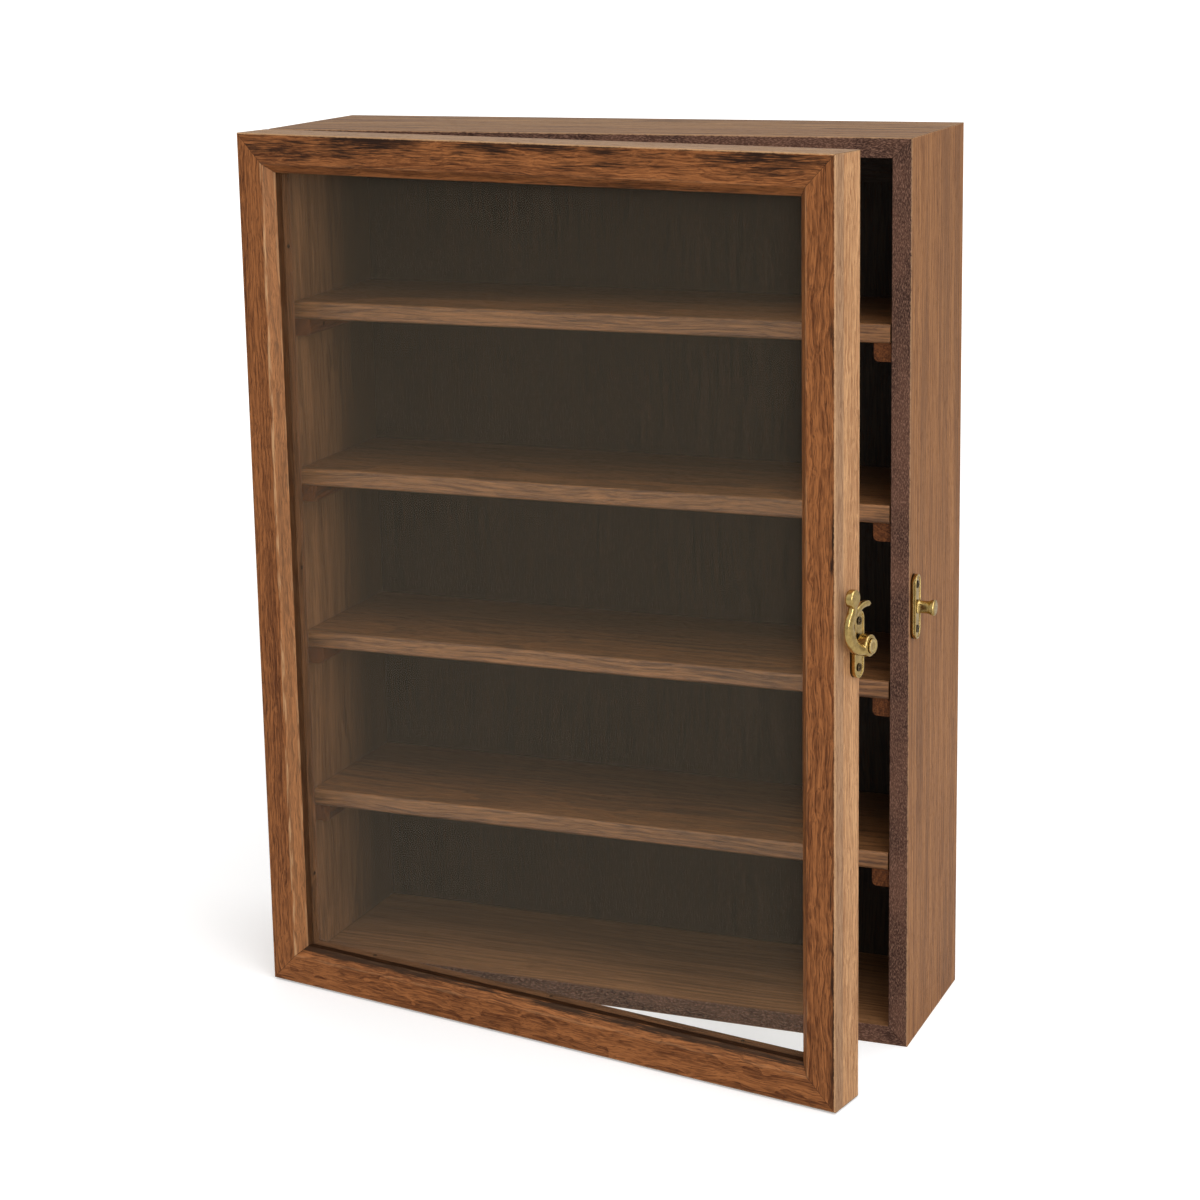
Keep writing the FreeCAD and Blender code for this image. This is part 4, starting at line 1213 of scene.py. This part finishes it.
# %% Rings and skins
def rounded(corners, rounding, steps=4):
    """The corners of a profile with each inner one replaced by a short curve."""
    points = [Vector(corners[0])]
    for before, corner, after in zip(corners, corners[1:], corners[2:]):
        corner = Vector(corner)
        back = Vector(before) - corner
        on = Vector(after) - corner
        start = corner + back.normalized() * min(rounding, back.length / 2)
        end = corner + on.normalized() * min(rounding, on.length / 2)
        for step in range(steps + 1):
            share = step / steps
            points.append(start.lerp(corner, share).lerp(corner.lerp(end, share), share))
    return points + [Vector(corners[-1])]


def on_arc(centre, radius, angle, height=0.0):
    """A point on a circle that lies flat on a plate, with the angle in degrees."""
    turn = math.radians(angle)
    return Vector((centre[0] + radius * math.cos(turn), centre[1] + radius * math.sin(turn), height))


def turned_rings(profile, centre=(0.0, 0.0), steps=56):
    """Rings of a turned shape, from pairs of radius and height."""
    angles = [360.0 * step / steps for step in range(steps)]
    return [[on_arc(centre, radius, angle, height) for angle in angles] for radius, height in profile]


def plate_rings(profile, width, height, steps=18):
    """Rings of a plate with half-round ends, from pairs of distance inside its edge and height."""
    half_straight = (height - width) / 2
    turns = [180.0 * step / steps for step in range(steps + 1)]
    rings = []
    for inset, level in profile:
        upper = [on_arc((0.0, half_straight), width / 2 - inset, turn, level) for turn in turns]
        lower = [on_arc((0.0, -half_straight), width / 2 - inset, turn + 180.0, level) for turn in turns]
        rings.append(upper + lower)
    return rings


def skin(mesh, rings, loop=False):
    """Adds a surface through rings of points, capped at both ends or closed on itself."""
    rows = [[mesh.verts.new(point) for point in ring] for ring in rings]
    pairs = list(zip(rows, rows[1:]))
    if loop:
        pairs.append((rows[-1], rows[0]))
    else:
        mesh.faces.new(rows[0][::-1])
        mesh.faces.new(rows[-1])
    for first, second in pairs:
        for index in range(len(first)):
            following = (index + 1) % len(first)
            mesh.faces.new((first[index], first[following], second[following], second[index]))


print("corners of a square take", len(rounded([(0, 0), (1, 0), (1, 1), (0, 1)], 0.2)), "points")

# %% Places on the plates
casting_grid = 0.2 / mm
casting_softness = 0.5
casting_rounds = 4


def fitting_frame(origin, out):
    """From millimetres on a plate, with Y up and Z out of the wood, to the model's frame."""
    up = Vector((0, 0, 1))
    turn = Matrix((up.cross(out), up, out)).transposed().to_4x4()
    return Matrix.Translation(origin) @ turn @ Matrix.Scale(1.0 / mm, 4)


def cast_in_one(piece):
    """Fuses the overlapping shapes of a piece in a grid of voxels and smooths the result."""
    fuse = piece.modifiers.new("fuse", "REMESH")
    fuse.mode = "VOXEL"
    fuse.voxel_size = casting_grid
    soften = piece.modifiers.new("soften", "SMOOTH")
    soften.factor = casting_softness
    soften.iterations = casting_rounds
    apply_modifiers(piece)


def brass_piece(node, mesh, place, body, fused=False):
    """Turns a mesh into a smooth brass piece that stands for a node of the model."""
    bmesh.ops.recalc_face_normals(mesh, faces=mesh.faces)
    bmesh.ops.transform(mesh, matrix=place, verts=mesh.verts)
    data = bpy.data.meshes.new("fine_" + node)
    mesh.to_mesh(data)
    mesh.free()
    data.materials.append(antique_brass)
    piece = add_object("fine_" + node, data)
    if fused:
        cast_in_one(piece)
    piece.data.shade_smooth()
    stand_in(piece, body, node)


hook_joint = joint_named("hook_swing")
clasp_frame = fitting_frame(Vector(hook_joint["pos_m"]), -Vector(hook_joint["axis"]))
catch_low, catch_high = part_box("catch_plate")
catch_foot = (catch_low + catch_high) / 2
catch_foot.x = catch_low.x
catch_frame = fitting_frame(catch_foot, to_right)
plate_size = (catch_high - catch_low) * mm
print("plate", [round(side, 2) for side in plate_size], "mm")

# %% Plates
plate_top = plate_size.x
rim_width = 0.9
field_depth = 0.4
field_inset = 1.5
plate_rounding = 0.4
field_level = plate_top - field_depth
plate_corners = [
    (0.0, 0.0), (0.0, plate_top), (rim_width, plate_top),
    (rim_width, field_level), (field_inset, field_level),
]
plate_profile = rounded(plate_corners, plate_rounding)
for node, body, place in (("clasp_plate", "door", clasp_frame), ("catch_plate", "case", catch_frame)):
    plate = bmesh.new()
    skin(plate, plate_rings(plate_profile, plate_size.y, plate_size.z))
    brass_piece(node, plate, place, body)

# %% Rivet
rivet_low, rivet_high = box_after(["clasp_pivot"], shut)
rivet_top = (rivet_high.x - rivet_low.x) * mm
rivet_radius = (rivet_high.y - rivet_low.y) / 2 * mm
rivet_shank = 1.8
rivet_head = 0.8
rivet_rounding = 0.25
dish_rim = 0.6
dish_depth = 0.3
dish_slope = 0.4
dish_centre = 0.3
dish_radius = rivet_radius - dish_rim
dish_bottom = rivet_top - dish_depth
head_bottom = rivet_top - rivet_head
rivet_corners = [
    (rivet_shank, 0.0), (rivet_shank, head_bottom), (rivet_radius, head_bottom), (rivet_radius, rivet_top),
    (dish_radius, rivet_top), (dish_radius - dish_slope, dish_bottom), (dish_centre, dish_bottom),
]
rivet = bmesh.new()
skin(rivet, turned_rings(rounded(rivet_corners, rivet_rounding)))
brass_piece("clasp_pivot", rivet, clasp_frame, "door")

# %% Post
post_low, post_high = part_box("catch_post")
post_top = (post_high.x - post_low.x) * mm
post_head = (post_high.y - post_low.y) / 2 * mm
post_waist = 2.85
post_foot = 3.4
post_tenon = 1.5
post_rounding = 0.8
foot_height = 1.0
head_flare = 3.0
head_height = 1.6
post_centre = 0.5
post_corners = [
    (post_tenon, 0.0), (post_tenon, field_level), (post_foot, field_level),
    (post_waist, plate_top + foot_height), (post_waist, post_top - head_flare),
    (post_head, post_top - head_height), (post_head, post_top), (post_centre, post_top),
]
post = bmesh.new()
skin(post, turned_rings(rounded(post_corners, post_rounding)))
brass_piece("catch_post", post, catch_frame, "case")

# %% [markdown]
# The hook could be cut from one block, but it is easier to lay it from two bent bars, a horn, a pad and a
# ring, fuse these in a fine grid of voxels, and smooth the result. That also rounds the inner corners
# where the bars meet, as a casting's are.

# %% Arm of the hook
section_fullness = 0.7


def swollen(value):
    """A sine or cosine pushed outwards, so that a round section becomes a rounded square."""
    return math.copysign(abs(value) ** section_fullness, value)


def bar_rings(points, half_widths, low, tops, steps=20):
    """Rings of a bar with a rounded section along points, from a height up to a top at each point."""
    turns = [math.tau * step / steps for step in range(steps)]
    rings = []
    for index, (point, half_width, top) in enumerate(zip(points, half_widths, tops)):
        along = points[min(index + 1, len(points) - 1)] - points[max(index - 1, 0)]
        across = Vector((-along.y, along.x, 0.0)).normalized()
        ring = []
        for turn in turns:
            height = Vector((0, 0, (low + top) / 2 + swollen(math.sin(turn)) * (top - low) / 2))
            ring.append(point + across * swollen(math.cos(turn)) * half_width + height)
        rings.append(ring)
    return rings


hook_clearance = 0.25
hook_low = plate_top + hook_clearance
hook_thickness = 3.4
eye_radius = 4.9
eye_thickness = 5.4
arm_radius = 10.4
arm_lean = 18.0
arm_sweep = 144.0
arm_outer_radius = 13.4
arm_end_width = 2.0
arm_swell = 1.05
arm_foot_angle = -90.0
arm_top_angle = arm_lean + arm_foot_angle - arm_sweep
arm_centre = on_arc((0.0, 0.0), arm_radius, 90.0 + arm_lean)
bar_steps = 24
shares = [step / bar_steps for step in range(bar_steps + 1)]
arm_widths = [arm_end_width + arm_swell * math.sin(math.pi * share) for share in shares]
eye_rise = eye_thickness - hook_thickness
arm_tops = [hook_low + hook_thickness + eye_rise * (1 - share) ** 4 for share in shares]
arm_points = []
for share, width in zip(shares, arm_widths):
    to_neck = max(share - 0.5, 0.0) * 2
    radius = (arm_outer_radius - width) * (1 - to_neck ** 2) + arm_radius * to_neck ** 2
    arm_points.append(on_arc(arm_centre, radius, arm_foot_angle + (arm_top_angle - arm_foot_angle) * share))
print("widest place of the arm", round(2 * max(arm_widths), 2), "mm")

# %% Neck, knob, horn and eye
neck_radius = 6.5
neck_sweep = 62.0
neck_half_width = 2.2
knob_radius = 4.0
knob_thickness = 3.8
knob_core = 0.5
knob_rounding = 1.1
horn_radius = 15.1
horn_sweep = 73.0
horn_start_angle = 147.0
horn_root_turn = 28.0
horn_half_width = 1.4
horn_lift = 0.4
horn_tip_share = 0.07
horn_blunt_share = 0.05
bore_radius = 2.1
eye_rounding = 1.2
neck_centre = on_arc(arm_centre, arm_radius + neck_radius, arm_top_angle)
neck_start_angle = arm_top_angle + 180.0
neck_points = [on_arc(neck_centre, neck_radius, neck_start_angle + neck_sweep * share) for share in shares]
knob_centre = on_arc(neck_centre, neck_radius, neck_start_angle + neck_sweep)
horn_root = on_arc(arm_centre, arm_radius, arm_top_angle + horn_root_turn)
horn_centre = on_arc(horn_root, horn_radius, horn_start_angle + 180.0)
horn_points = [on_arc(horn_centre, horn_radius, horn_start_angle - horn_sweep * share) for share in shares]
horn_tips = [max(1 - (1 - share) / horn_tip_share, 0.0) for share in shares]
horn_widths = [horn_half_width * math.sqrt(max(1 - tip ** 2, horn_blunt_share)) for tip in horn_tips]
hook_top = hook_low + hook_thickness
knob_top = hook_low + knob_thickness
eye_top = hook_low + eye_thickness
knob_corners = [
    (knob_core, hook_low), (knob_radius, hook_low), (knob_radius, knob_top), (knob_core, knob_top),
]
eye_corners = [
    (bore_radius, hook_low), (eye_radius, hook_low), (eye_radius, eye_top), (bore_radius, eye_top),
]
level_tops = [hook_top] * len(shares)

hook = bmesh.new()
skin(hook, bar_rings(arm_points, arm_widths, hook_low, arm_tops))
skin(hook, bar_rings(neck_points, [neck_half_width] * len(shares), hook_low, level_tops))
skin(hook, bar_rings(horn_points, horn_widths, hook_low + horn_lift, level_tops))
skin(hook, turned_rings(rounded(knob_corners, knob_rounding), knob_centre))
skin(hook, turned_rings(rounded(eye_corners, eye_rounding)), loop=True)
brass_piece("clasp_hook", hook, clasp_frame, "hook", fused=True)
